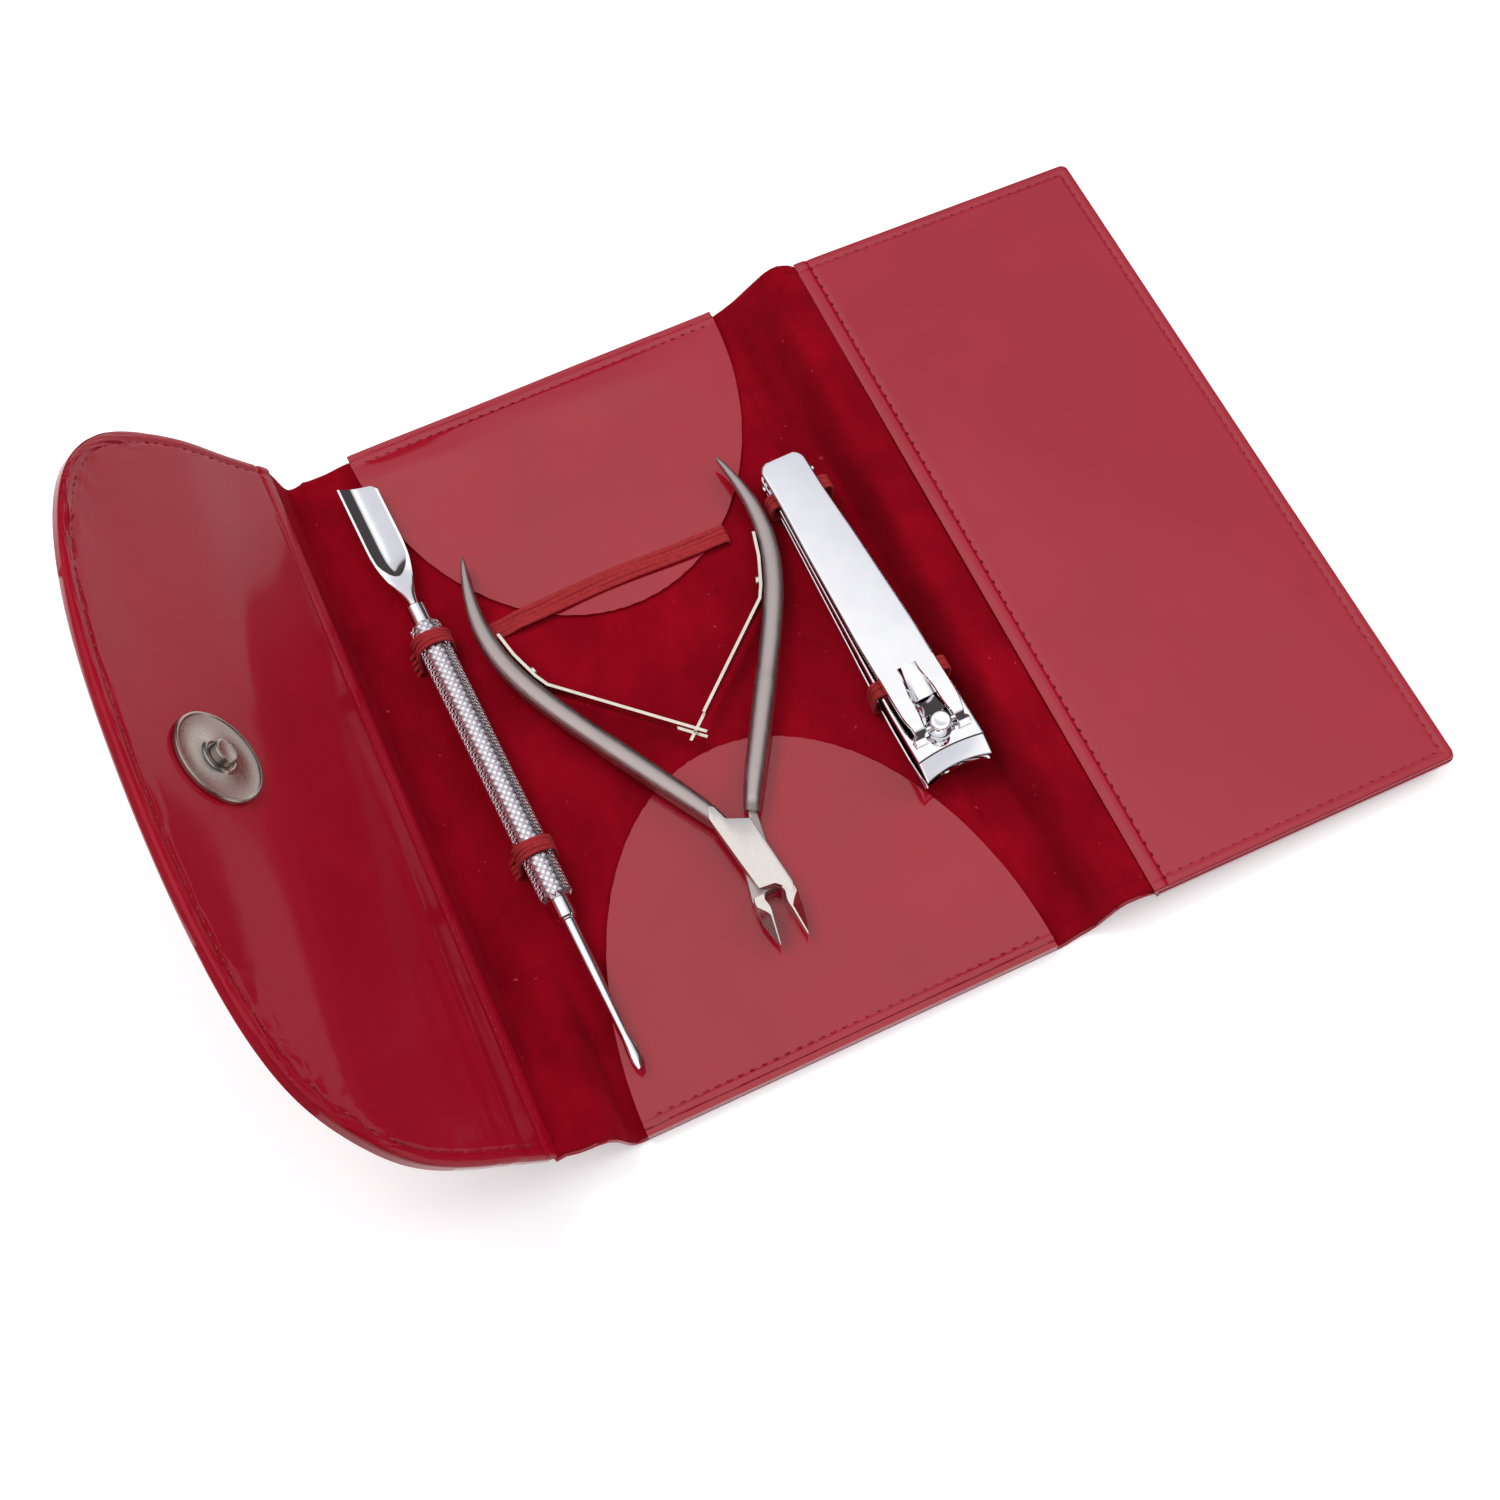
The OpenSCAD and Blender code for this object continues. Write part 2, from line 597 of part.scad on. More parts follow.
// Leaf spring: flat against the handle's inner side, then straight across
// to the other leaf. The left leaf's end is a fork round the right's tongue.
leaf_path = [[-27.55, 62.6], [-26.3, 57.2], [-24.1, 51.2], [-22.6, 48.4], [1.5, 26.6]];
function leaf_way(k) = let (a = leaf_path[max(0, k - 1)],
    b = leaf_path[min(len(leaf_path) - 1, k + 1)]) (b - a) / norm(b - a);
function leaf_side(k, off) = leaf_path[k] + off * [-leaf_way(k).y, leaf_way(k).x];
fork_reach = 6;
tongue_h = 1.2;
module leaf_blank() {
    last = len(leaf_path) - 1;
    linear_extrude(leaf_h, center = true)
        polygon(concat([for (k = [0 : last]) leaf_side(k, 0)], [for (k = [last : -1 : 0]) leaf_side(k, leaf_t)]));
}
module at_leaf_end() {
    end = leaf_path[len(leaf_path) - 1];
    way = leaf_way(len(leaf_path) - 1);
    translate([end.x, end.y, 0]) rotate([0, 0, atan2(way.y, way.x)]) children();
}
module nipper_spring_left() {
    color(brass_steel) in_nipper() difference() {
        leaf_blank();
        at_leaf_end() cube([2 * fork_reach, 6, tongue_h + 0.6], center = true);
    }
}
module nipper_spring_right() {
    color(brass_steel) in_nipper() mirror([1, 0, 0]) difference() {
        leaf_blank();
        for (side = [-1, 1]) at_leaf_end()
            translate([0, 0, side * (tongue_h + leaf_h) / 2]) cube([2 * fork_reach, 6, leaf_h], center = true);
    }
}
screw_d = 2.2;
screw_h = 0.6;
module leaf_screw() {
    way = (leaf_path[2] - leaf_path[1]) / norm(leaf_path[2] - leaf_path[1]);
    seat = leaf_path[2] - 0.75 * screw_d * way + leaf_t * [-way.y, way.x];
    translate([seat.x, seat.y, 0]) rotate([0, 0, atan2(way.y, way.x)]) rotate([-90, 0, 0])
        cylinder(d = screw_d, h = screw_h);
}
module spring_screw_left() {
    color(dark_steel) in_nipper() leaf_screw();
}
module spring_screw_right() {
    color(dark_steel) in_nipper() mirror([1, 0, 0]) leaf_screw();
}

// Clipper: side profiles in u and w, cut to the plan outline
pin_u = clipper_tail_y + 32.1;
tail_pin_u = 3;
tail_pin_w = lower_arm_t + 0.2;
module side_profile(points) {
    rotate([90, 0, 0]) translate([0, 0, -jaw_w]) linear_extrude(2 * jaw_w) polygon(points);
}
module plan(trim = 0, bite = 1.2) {
    end = arm_len;
    tail_r = 2;
    linear_extrude(20) difference() {
        union() {
            hull() {
                for (side = [-1, 1]) translate([tail_r, side * (tail_w / 2 - tail_r - trim)]) circle(tail_r, $fn = 32);
                translate([10, -tail_w / 2 + trim]) square([1, tail_w - 2 * trim]);
            }
            polygon([[10, -tail_w / 2 + trim], [end - 15, -jaw_w / 2 + trim], [end, -jaw_w / 2 + trim],
                [end, jaw_w / 2 - trim], [end - 15, jaw_w / 2 - trim], [10, tail_w / 2 - trim]]);
        }
        translate([end + 20 - bite, 0]) circle(20);
    }
}
module clipper_lower_arm() {
    rise = lower_arm_t + 1.5;
    profile = [[0, 0], [arm_len - 6, 0], [arm_len - 0.8, 0.9], [arm_len, rise], [arm_len - 0.6, rise],
        [arm_len - 2.6, lower_arm_t + 0.8], [arm_len - 7, lower_arm_t], [0, lower_arm_t]];
    color(steel) in_clipper() difference() {
        intersection() {
            side_profile(profile);
            translate([0, 0, -5]) plan();
        }
        translate([pin_u, 0, -1]) cylinder(d = turn_pin_d + 2 * run_gap, h = 10);
        translate([tail_pin_u, 0, tail_pin_w]) rotate([90, 0, 0]) cylinder(d = tail_pin_d, h = 40, center = true);
    }
}
module clipper_upper_arm() {
    jaw_top_u = arm_len - 3.2;
    edge_w = lower_arm_t + 3.5;
    profile = [[0, arm_base_w], [arm_len - 6, arm_base_w + (arm_len - 6) * tan(arm_slope)],
        [arm_len - 1.4, edge_w + 0.6], [arm_len - 0.5, edge_w], [arm_len, edge_w], [arm_len, edge_w + 0.4],
        [jaw_top_u, arm_top(jaw_top_u)], [0, arm_top(0)]];
    color(steel) in_clipper() difference() {
        intersection() {
            side_profile(profile);
            translate([0, 0, -5]) plan();
        }
        translate([pin_u, 0, -1]) cylinder(d = turn_pin_d + 1.4, h = 20);
        translate([tail_pin_u, 0, tail_pin_w]) rotate([90, 0, 0])
            cylinder(d = tail_pin_d + 2 * run_gap, h = 40, center = true);
    }
}
module clipper_tail_pin() {
    color(steel) in_clipper() translate([tail_pin_u, (nub_left - nub_right) / 2, tail_pin_w])
        rotate([90, 0, 0]) cylinder(d = tail_pin_d, h = tail_w + nub_left + nub_right, center = true);
}

// The turning pin stands in the lower arm, with a foot below and a grooved
// neck that the lever's cross bar lies in
lever_clear = 0.3;
lever_axis_w = arm_top(pin_u) + slot_h + lever_t / 2 + lever_clear;
pin_top_w = lever_axis_w + 1.9;
pin_foot_rim = 1;
pin_head_rim = 0.25;
pin_head_h = 0.5;
cross_bar_d = 1.1;
module clipper_pin() {
    pin_r = turn_pin_d / 2;
    head_w = pin_top_w - pin_head_h;
    color(steel) in_clipper() translate([pin_u, 0, 0]) difference() {
        union() {
            translate([0, 0, -pin_foot_h])
                cylinder(r1 = pin_r + 0.7 * pin_foot_rim, r2 = pin_r + pin_foot_rim, h = pin_foot_h - run_gap);
            translate([0, 0, -pin_foot_h]) cylinder(r = pin_r, h = pin_foot_h + head_w - pin_head_rim);
            translate([0, 0, head_w - pin_head_rim])
                cylinder(r1 = pin_r, r2 = pin_r + pin_head_rim, h = pin_head_rim);
            translate([0, 0, head_w]) cylinder(r1 = pin_r + pin_head_rim, r2 = pin_r, h = pin_head_h);
        }
        translate([0, 0, lever_axis_w]) rotate([90, 0, 0])
            cylinder(d = cross_bar_d + 2 * run_gap, h = 10, center = true);
    }
}
// Lever: a long plate that narrows past its window to two rolled lobes on
// the cross bar's line
lobe_r = 1.6;
lobe_half = 4.9;
window_half = turn_pin_d / 2 + 0.75;
window_len = 13.6;
lever_overhang = 0.5;
module clipper_lever() {
    length = pin_u + lever_overhang;
    tail_half = tail_w / 2 - 0.1;
    waist = length - 22;
    outline = [[0, -lobe_half], [-4, -lobe_half - 0.1], [-12, -jaw_w / 2 + 1], [-22, -jaw_w / 2 + 0.8],
        [-length + 10, -tail_half], [-length + 2.2, -tail_half], [-length + 0.5, -tail_half + 1],
        [-length, -tail_half + 2.6], [-length, tail_half - 2.6], [-length + 0.5, tail_half - 1],
        [-length + 2.2, tail_half], [-length + 10, tail_half], [-22, jaw_w / 2 - 0.8],
        [-12, jaw_w / 2 - 1], [-4, lobe_half + 0.1], [0, lobe_half]];
    color(steel) in_clipper() translate([pin_u, 0, lever_axis_w]) rotate([0, -arm_slope, 0]) {
        difference() {
            union() {
                translate([0, 0, -lever_t / 2]) linear_extrude(lever_t) polygon(outline);
                rotate([90, 0, 0]) cylinder(r = lobe_r, h = 2 * lobe_half, center = true);
            }
            translate([-window_len, -window_half, -5]) cube([window_len + 5, 2 * window_half, 10]);
        }
        rotate([90, 0, 0]) cylinder(d = cross_bar_d, h = 2 * window_half + 1, center = true);
    }
}

back_outer();
back_board();
back_lining();
upper_pocket();
lower_pocket();
pusher_loop_upper();
pusher_loop_lower();
nipper_band();
clipper_loop_upper();
clipper_loop_lower();
front_gusset_lower_outer();
front_gusset_lower_lining();
front_gusset_upper_outer();
front_gusset_upper_lining();
front_outer();
front_board();
front_lining();
front_facing();
snap_socket();
snap_magnet();
socket_washer();
flap_gusset_lower_outer();
flap_gusset_lower_lining();
flap_gusset_upper_outer();
flap_gusset_upper_lining();
flap_outer();
flap_board();
flap_facing();
snap_disc();
disc_washer();
pusher_handle();
pusher_spoon();
pusher_pick();
nipper_left_half();
nipper_right_half();
nipper_pivot();
nipper_spring_left();
nipper_spring_right();
spring_screw_left();
spring_screw_right();
clipper_lower_arm();
clipper_upper_arm();
clipper_tail_pin();
clipper_pin();
clipper_lever();
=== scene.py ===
import json
from math import cos, pi, radians, sin, tan

import bpy
import numpy as np
from mathutils import Matrix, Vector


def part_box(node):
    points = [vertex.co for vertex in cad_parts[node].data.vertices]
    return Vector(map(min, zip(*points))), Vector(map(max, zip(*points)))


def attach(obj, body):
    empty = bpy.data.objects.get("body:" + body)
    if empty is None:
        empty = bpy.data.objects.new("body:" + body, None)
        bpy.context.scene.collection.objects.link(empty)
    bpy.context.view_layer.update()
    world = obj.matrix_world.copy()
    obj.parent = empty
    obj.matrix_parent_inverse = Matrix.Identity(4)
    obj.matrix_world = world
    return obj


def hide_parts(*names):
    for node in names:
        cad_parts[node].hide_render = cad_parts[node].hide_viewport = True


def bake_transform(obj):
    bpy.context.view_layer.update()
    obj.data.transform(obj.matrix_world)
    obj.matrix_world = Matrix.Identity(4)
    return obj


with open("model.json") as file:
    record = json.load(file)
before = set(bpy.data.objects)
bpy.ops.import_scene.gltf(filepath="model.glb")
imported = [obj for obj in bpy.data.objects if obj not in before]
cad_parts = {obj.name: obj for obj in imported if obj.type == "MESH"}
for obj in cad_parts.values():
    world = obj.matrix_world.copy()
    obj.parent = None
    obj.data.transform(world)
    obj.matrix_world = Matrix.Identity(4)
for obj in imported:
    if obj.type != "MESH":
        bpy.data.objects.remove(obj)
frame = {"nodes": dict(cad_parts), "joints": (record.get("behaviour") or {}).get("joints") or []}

# A soft patent case with nail tools, open on a table. Sizes are in millimetres in the CAD's own
# frame: the origin is under the back panel's middle, +Y runs along the folds and +Z is up.
scene = bpy.context.scene
scene.view_settings.view_transform = "Standard"
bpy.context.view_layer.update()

# Camera: a 46 mm lens over the case's near left, looking steeply down. The view was fitted to the
# corners of the panels and to the tools in the photograph's 1500 by 1500 frame.
azimuth, elevation, roll = radians(-21.7214), radians(67.3318), radians(-3.4329)
back = np.array([sin(azimuth) * cos(elevation), -cos(azimuth) * cos(elevation), sin(elevation)])
level = np.cross([0, 0, 1], back) / cos(elevation)
tall = np.cross(back, level)
right = cos(roll) * level + sin(roll) * tall
up = cos(roll) * tall - sin(roll) * level
target, distance = np.array([6.954, -16.62, 0]), 372.089
eye = (target + distance * back) / 1000
camera = bpy.data.objects.new("camera", bpy.data.cameras.new("camera"))
camera.data.sensor_width = 36
camera.data.lens = 46.08
camera.data.clip_start = 0.01
camera.matrix_world = Matrix([[right[k], up[k], back[k], eye[k]] for k in range(3)] + [[0, 0, 0, 1]])
scene.collection.objects.link(camera)
scene.camera = camera


# Velvet lining: one thin crimson velvet from the front panel's edge, over the back panel's board,
# to the flap's edge. It is glued to the outer leather, and both follow the same curve over the gussets.
def linear(code):
    """A sRGB hex colour as linear red, green, blue and alpha."""
    shares = [int(code[k:k + 2], 16) / 255 for k in (1, 3, 5)]
    return tuple(c / 12.92 if c <= 0.04045 else ((c + 0.055) / 1.055) ** 2.4 for c in shares) + (1,)


def node(tree, kind, feeds=None, stops=None, **settings):
    """Adds one node. feeds gives an input its value or the output that feeds it, and stops are a
    colour ramp's places and colours."""
    made = tree.nodes.new(kind)
    for name, value in settings.items():
        setattr(made, name, value)
    for key, value in (feeds or {}).items():
        if isinstance(value, bpy.types.NodeSocket):
            tree.links.new(value, made.inputs[key])
        else:
            made.inputs[key].default_value = value
    for k, (place, shade) in enumerate(stops or []):
        stop = made.color_ramp.elements[k] if k < 2 else made.color_ramp.elements.new(place)
        stop.position, stop.color = place, shade
    return made


def finish(name, **surface):
    """A new material with its shader's own sockets set: words joined by _ name a socket."""
    made = bpy.data.materials.new(name)
    made.use_nodes = True
    shader = made.node_tree.nodes["Principled BSDF"]
    names = {socket.name.lower(): socket for socket in shader.inputs}
    for key, value in surface.items():
        names[key.replace("_", " ")].default_value = value
    return made, made.node_tree, shader


def smooth(t):
    """0 below 0, 1 above 1 and 3t^2 - 2t^3 between."""
    t = np.clip(t, 0, 1)
    return t * t * (3 - 2 * t)


def bell(distance, wide, high):
    """A soft line, added or pressed in: high times e^-(distance / wide)^2."""
    return high * np.exp(-(distance / wide) ** 2)


def rolled(distance, radius):
    """How far a quarter round of that radius falls below its top, that distance from its edge."""
    return radius * (1 - np.sqrt(1 - (1 - np.clip(distance / radius, 0, 1)) ** 2))


def eased(at, table, reach, count):
    """The line through a table's rows, place and value, averaged over a reach to each side so that
    its corners turn."""
    places, values = np.array(table).T
    return np.mean([np.interp(at + s, places, values) for s in np.linspace(-reach, reach, count)], 0)


def closer(length, fine, pace):
    """Shares of a length from 0 to 1, at the fine places near both ends and a pace apart between."""
    near = np.array(fine) / length
    far = 1 - near[::-1]
    return np.concatenate([near, np.linspace(near[-1], far[0], int(length / pace))[1:-1], far])


def outward(points, faces):
    """The faces turned to point out: the signed volume, the sum of a . (b x c) over the
    triangles a, b, c, is above 0."""
    volume = 0
    for group in faces:
        for k in range(1, group.shape[1] - 1):
            a, b, c = points[group[:, 0]], points[group[:, k]], points[group[:, k + 1]]
            volume += (a * np.cross(b, c)).sum()
    return faces if volume > 0 else [group[:, ::-1] for group in faces]


def sheet(top, under):
    """Closed sheet: quads over two grids of points, and one row of quads round their rims."""
    rows, columns = top.shape[:2]
    index = np.arange(rows * columns).reshape(rows, columns)
    quads = np.stack([index[:-1, :-1], index[1:, :-1], index[1:, 1:], index[:-1, 1:]], -1).reshape(-1, 4)
    rim = np.concatenate([index[:-1, 0], index[-1, :-1], index[:0:-1, -1], index[0, :0:-1]])
    low = rim + rows * columns
    wall = np.stack([low, np.roll(low, -1), np.roll(rim, -1), rim], -1)
    points = np.concatenate([top.reshape(-1, 3), under.reshape(-1, 3)])
    return points, outward(points, [quads, quads[:, ::-1] + rows * columns, wall])


def piece(name, parts, material, body=None, stands_for=None, crease=40):
    """One mesh of closed parts, each its points in mm and its faces. It rides on a body, or without
    one it stays fixed where it lies. It stands for the CAD node of its own name, or for another."""
    points = np.concatenate([part[0] for part in parts])
    faces, start = [], 0
    for part in parts:
        for group in part[1]:
            faces += (group + start).tolist()
        start += len(part[0])
    mesh = bpy.data.meshes.new(name)
    mesh.from_pydata((points / 1000).tolist(), [], faces)
    mesh.shade_smooth()
    mesh.set_sharp_from_angle(angle=radians(crease))
    mesh.materials.append(material)
    made = bpy.data.objects.new(name, mesh)
    scene.collection.objects.link(made)
    if body:
        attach(made, body)
    else:
        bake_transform(made)
    stands_for = stands_for or name
    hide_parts(*[stands_for] if stands_for in frame["nodes"] else [])


# Height of the velvet's upper face for places across the case, at the middle, the near end, where
# the flap's gusset humps up, and the far end, where the front gusset rises slowly
MIDDLE = [[-57.5, 12.0], [-56.9, 10.9], [-56.2, 8.4], [-55.9, 6.4], [-55.5, 3.9], [-55.1, 2.5],
          [-54.4, 1.8], [-53.5, 1.55], [-48.2, 1.5], [47.0, 1.5], [48.0, 1.8], [48.7, 3.2], [49.8, 5.7],
          [51.0, 8.3], [51.9, 9.4], [53.1, 10.0], [54.5, 9.8], [58, 8.8], [60.2, 8.0], [61.0, 7.5],
          [61.45, 7.3]]
NEAR = [[-57.5, 12.0], [-56.4, 12.4], [-55.2, 12.8], [-52.6, 12.0], [-49.8, 12.7], [-47.2, 11.2],
        [-45.2, 8.0], [-44.2, 4.6], [-43.4, 2.2], [-42.4, 1.5], [45, 1.5], [47.5, 1.9], [49, 3.0],
        [50.5, 5.3], [52.5, 8.3], [54.5, 9.6], [58, 9.2], [60.2, 8.2], [61.45, 7.3]]
FAR = MIDDLE[:9] + [[41.2, 1.5], [43.5, 2.7], [46.7, 5.4], [50, 8.0], [53, 10.2], [55, 11.0], [57, 11.0],
                    [59, 10.0], [60.5, 8.6], [61.45, 7.3]]
velvet_t, leather_t, board_t = 0.7, 0.8, 1.0
# Half the case's length along its folds
case_half = 77.5


def past_board(x, over):
    """0 on the back panel and 1 in its soft margins, rising over a few millimetres past the board."""
    return smooth((np.abs(x) - 42) / over)


def lining_height(x, y, over_board):
    """The three height lines mixed along y, with the board's step under the velvet, faint waves,
    and a crease beside the flap's gusset."""
    middle, low_end, high_end = [eased(x, line, 0.4, 7) for line in (MIDDLE, NEAR, FAR)]
    near, far = 1 - smooth((y + 77) / 42), smooth((y - 22) / 52)
    z = middle * (1 - near) * (1 - far) + low_end * near + high_end * far
    before_flap = smooth((x + 57) / 3)
    loose = past_board(x, 4) * smooth((60 - x) / 6) * before_flap * smooth((z - 1.55) / 1.5)
    z += loose * 0.22 * np.sin(y / 7.3 + x / 5) * np.sin(y / 17 + 1)
    z += smooth((-x - 42) / 4) * before_flap * smooth((y + 50) / 30) * bell(x + 50.3 + 0.016 * y, 0.9, 0.45)
    board = board_t + 0.05 * np.sin(y / 9 + x / 13)
    return z + over_board * board * (1 - smooth((np.abs(x) - 39.8) / 1.4))


def skin(x, y, depth, over_board):
    """Points a depth below the lining's upper face, square to it in the section across the case."""
    z = lining_height(x, y, over_board)
    slope = (lining_height(x + 0.02, y, over_board) - lining_height(x - 0.02, y, over_board)) / 0.04
    run = np.sqrt(1 + slope ** 2)
    return np.stack([x + depth * slope / run, y, z - depth / run], -1)


# Each strip of the case's skin: name, place across the case, the body it rides on, a bend between
# two bodies that is not used, and the CAD nodes of the velvet and the leather that it stands for
STRIPS = [
    ("back", (-44, 44), "back", None, "back_lining", "back_outer"),
    ("flap_side_fold", (-51.7, -44), None, ("back", "flap_gusset_lower", -46.8, -49.6),
     "flap_gusset_lower_lining", "flap_gusset_lower_outer"),
    ("flap_side_rise", (-56.0, -51.7), None, ("flap_gusset_lower", "flap_gusset_upper", -53.6, -55.5),
     "flap_gusset_upper_lining", "flap_gusset_upper_outer"),
    ("flap_side_edge", (-57.5, -56.0), None, ("flap_gusset_upper", "flap", -56.3, -57.2), None, None),
    ("front_side_fold", (44, 49.7), None, ("back", "front_gusset_lower", 46.9, 49.0),
     "front_gusset_lower_lining", "front_gusset_lower_outer"),
    ("front_side_crest", (49.7, 57), None, ("front_gusset_lower", "front_gusset_upper", 51.0, 53.6),
     "front_gusset_upper_lining", "front_gusset_upper_outer"),
    ("front_side_edge", (57, 61.4), None, ("front_gusset_upper", "front_panel", 60.2, 61.4), None, None),
]


def across(low, high):
    """Lines across a strip: 1.2 mm apart on the board, and closer where the skin turns."""
    pace = [(-57.5, -54.4, 0.12), (-54.4, -41, 0.4), (-41, 41, 1.2), (41, 47, 0.4), (47, 53.6, 0.2),
            (53.6, 61.45, 0.35)]
    lines = np.concatenate([np.arange(a, b, step) for a, b, step in pace])
    inner = lines[(lines > low + 0.05) & (lines < high - 0.05)]
    return np.concatenate([[low], inner, [high]])


# Lines along the case, as shares of its half length from -1 to 1
ALONG = 2 * closer(154, (0, 0.12, 0.28, 0.5, 0.8, 1.2, 1.6, 1.9, 2.2, 2.5, 2.8, 3.1, 3.4, 3.8, 4.4, 5.2,
                         6.2), 1.4) - 1


def velvet_strip(low, high):
    """Velvet between two places across the case. It stops 0.5 mm short of the leather, its ends
    roll down over the last 0.6 mm, and a seam presses it in 2.6 mm from each end of the gussets."""
    x = across(low, high)[:, None]
    half = case_half - 0.5 - 0.5 * past_board(x, 5) - 0.5 * smooth((-x - 50) / 6)
    x, y = np.broadcast_arrays(x, half * ALONG)
    end = half - np.abs(y)
    top = skin(x, y, 0, 1)
    top[..., 2] -= bell(end - 2.6, 0.4, 0.22) * past_board(x, 2) + 0.75 * rolled(end, 0.6)
    return sheet(top, skin(x, y, velvet_t, 1))


# Velvet: a short dense cotton pile dyed crimson. The pile drinks light, glows at a slant, and lies
# in clouds where it was stroked, with a few specks of lint. The 0.25 mm pile is drawn at 0.35 mm.
velvet, tree, shader = finish("dyed cotton velvet", roughness=1, specular_ior_level=0.12,
                              sheen_weight=0.5, sheen_roughness=0.35, sheen_tint=linear("#d81c38"))
place = node(tree, "ShaderNodeTexCoord").outputs["Object"]
long = node(tree, "ShaderNodeMapping", {"Vector": place, "Scale": (1, 0.7, 1)}).outputs["Vector"]
stroke = node(tree, "ShaderNodeTexNoise", {"Vector": long, "Scale": 90, "Detail": 4, "Roughness": 0.6})
shade = node(tree, "ShaderNodeValToRGB", {"Fac": stroke.outputs["Fac"]},
             [(0.3, linear("#74000f")), (0.7, linear("#900418"))])
lint = node(tree, "ShaderNodeTexNoise", {"Vector": place, "Scale": 700, "Detail": 1})
speck = node(tree, "ShaderNodeValToRGB", {"Fac": lint.outputs["Fac"]},
             [(0.77, linear("#000000")), (0.81, linear("#ffffff"))])
mix = node(tree, "ShaderNodeMix", {0: speck.outputs["Color"], 6: shade.outputs["Color"],
                                   7: linear("#a03040")}, data_type="RGBA")
pile = node(tree, "ShaderNodeTexNoise", {"Vector": place, "Scale": 2900, "Detail": 2})
bump = node(tree, "ShaderNodeBump", {"Height": pile.outputs["Fac"], "Strength": 0.35, "Distance": 0.0002})
tree.links.new(mix.outputs[2], shader.inputs["Base Color"])
tree.links.new(bump.outputs["Normal"], shader.inputs["Normal"])
for name, (low, high), body, bends, lining, _ in STRIPS:
    piece("velvet_" + name, [velvet_strip(low, high)], velvet, body, lining)


# Outer leather: the same strips in patent leather, under the velvet. On the back panel the leather
# is flat under the board, and it turns up round the board at both ends.
def patent(name, coat, haze):
    """Patent leather: a thin split of leather under a thick clear coat of polyurethane lacquer.
    The coat mirrors the room as a pale veil over the deep red, and it is a little wavy, from the
    leather's grain at 1.5 mm and from its give at 12 mm."""
    made, tree, shader = finish(name, base_color=linear("#98041d"), roughness=0.45, specular_ior_level=0.12,
                                coat_weight=coat, coat_roughness=haze, coat_ior=1.52)
    place = node(tree, "ShaderNodeTexCoord").outputs["Object"]
    grain = node(tree, "ShaderNodeTexNoise", {"Vector": place, "Scale": 620, "Detail": 2})
    give = node(tree, "ShaderNodeTexNoise", {"Vector": place, "Scale": 80, "Detail": 1})
    fine = node(tree, "ShaderNodeBump", {"Height": grain.outputs["Fac"], "Strength": 0.035,
                                         "Distance": 0.0003})
    broad = node(tree, "ShaderNodeBump", {"Height": give.outputs["Fac"], "Strength": 0.025,
                                          "Distance": 0.002, "Normal": fine.outputs["Normal"]})
    cloud = node(tree, "ShaderNodeTexNoise", {"Vector": place, "Scale": 45, "Detail": 3})
    shade = node(tree, "ShaderNodeValToRGB", {"Fac": cloud.outputs["Fac"]},
                 [(0.3, linear("#95031c")), (0.7, linear("#9d0521"))])
    tree.links.new(shade.outputs["Color"], shader.inputs["Base Color"])
    tree.links.new(broad.outputs["Normal"], shader.inputs["Normal"])
    tree.links.new(broad.outputs["Normal"], shader.inputs["Coat Normal"])
    return made


leather = patent("red patent leather", 1, 0.035)


def leather_strip(low, high):
    """Leather between two places across the case, 0.8 mm thick, from 0.7 to 1.5 mm below the
    velvet's face, with its ends rounded over 0.4 mm."""
    x = across(low, high)[:, None]
    half = case_half - 0.45 * past_board(x, 5) - 0.6 * smooth((-x - 50) / 6)
    x, y = np.broadcast_arrays(x, half * ALONG)
    draw = 0.875 * rolled(half - np.abs(y), 0.4)
    return sheet(skin(x, y, velvet_t + draw, 0), skin(x, y, velvet_t + leather_t - draw, 0))


def tube(rings, ends=True):
    """Closed skin over rings of points, each ring a closed line, with a flat face on each end.
    Without ends the last ring joins the first."""
    count, around = rings.shape[:2]
    index = np.arange(count * around).reshape(count, around)
    after, rows = np.roll(index, -1, 0), count - 1 if ends else count
    walls = np.stack([index, np.roll(index, -1, 1), np.roll(after, -1, 1), after], -1)[:rows].reshape(-1, 4)
    points = rings.reshape(-1, 3)
    return points, outward(points, [walls] + ([index[:1, ::-1], index[-1:]] if ends else []))


def rim_points(wide, high, power, count=28):
    """A superellipse's closed line: |a / wide| ^ power + |b / high| ^ power = 1."""
    turn = np.linspace(0, 2 * pi, count, endpoint=False)
    a, b = np.cos(turn), np.sin(turn)
    return wide * np.sign(a) * np.abs(a) ** (2 / power), high * np.sign(b) * np.abs(b) ** (2 / power)


# Half the back panel's board across the case
board_half = 41.2


def end_roll(side):
    """The leather turned up round the board's end: a rounded bar 1.4 by 1.8 mm along x."""
    b, c = rim_points(0.7, 0.9, 3.5)
    x = (board_half - 0.1) * np.linspace(-1, 1, 60)[:, None]
    sag = 0.05 * np.sin(x / 5)
    return tube(np.stack(np.broadcast_arrays(x, side * (case_half - 0.72 + b), 1.55 + c + sag), -1))


for name, (low, high), body, bends, _, outer in STRIPS:
    parts = [leather_strip(low, high)]
    if name == "back":
        parts += [end_roll(-1), end_roll(1)]
    piece("leather_" + name, parts, leather, body, outer)


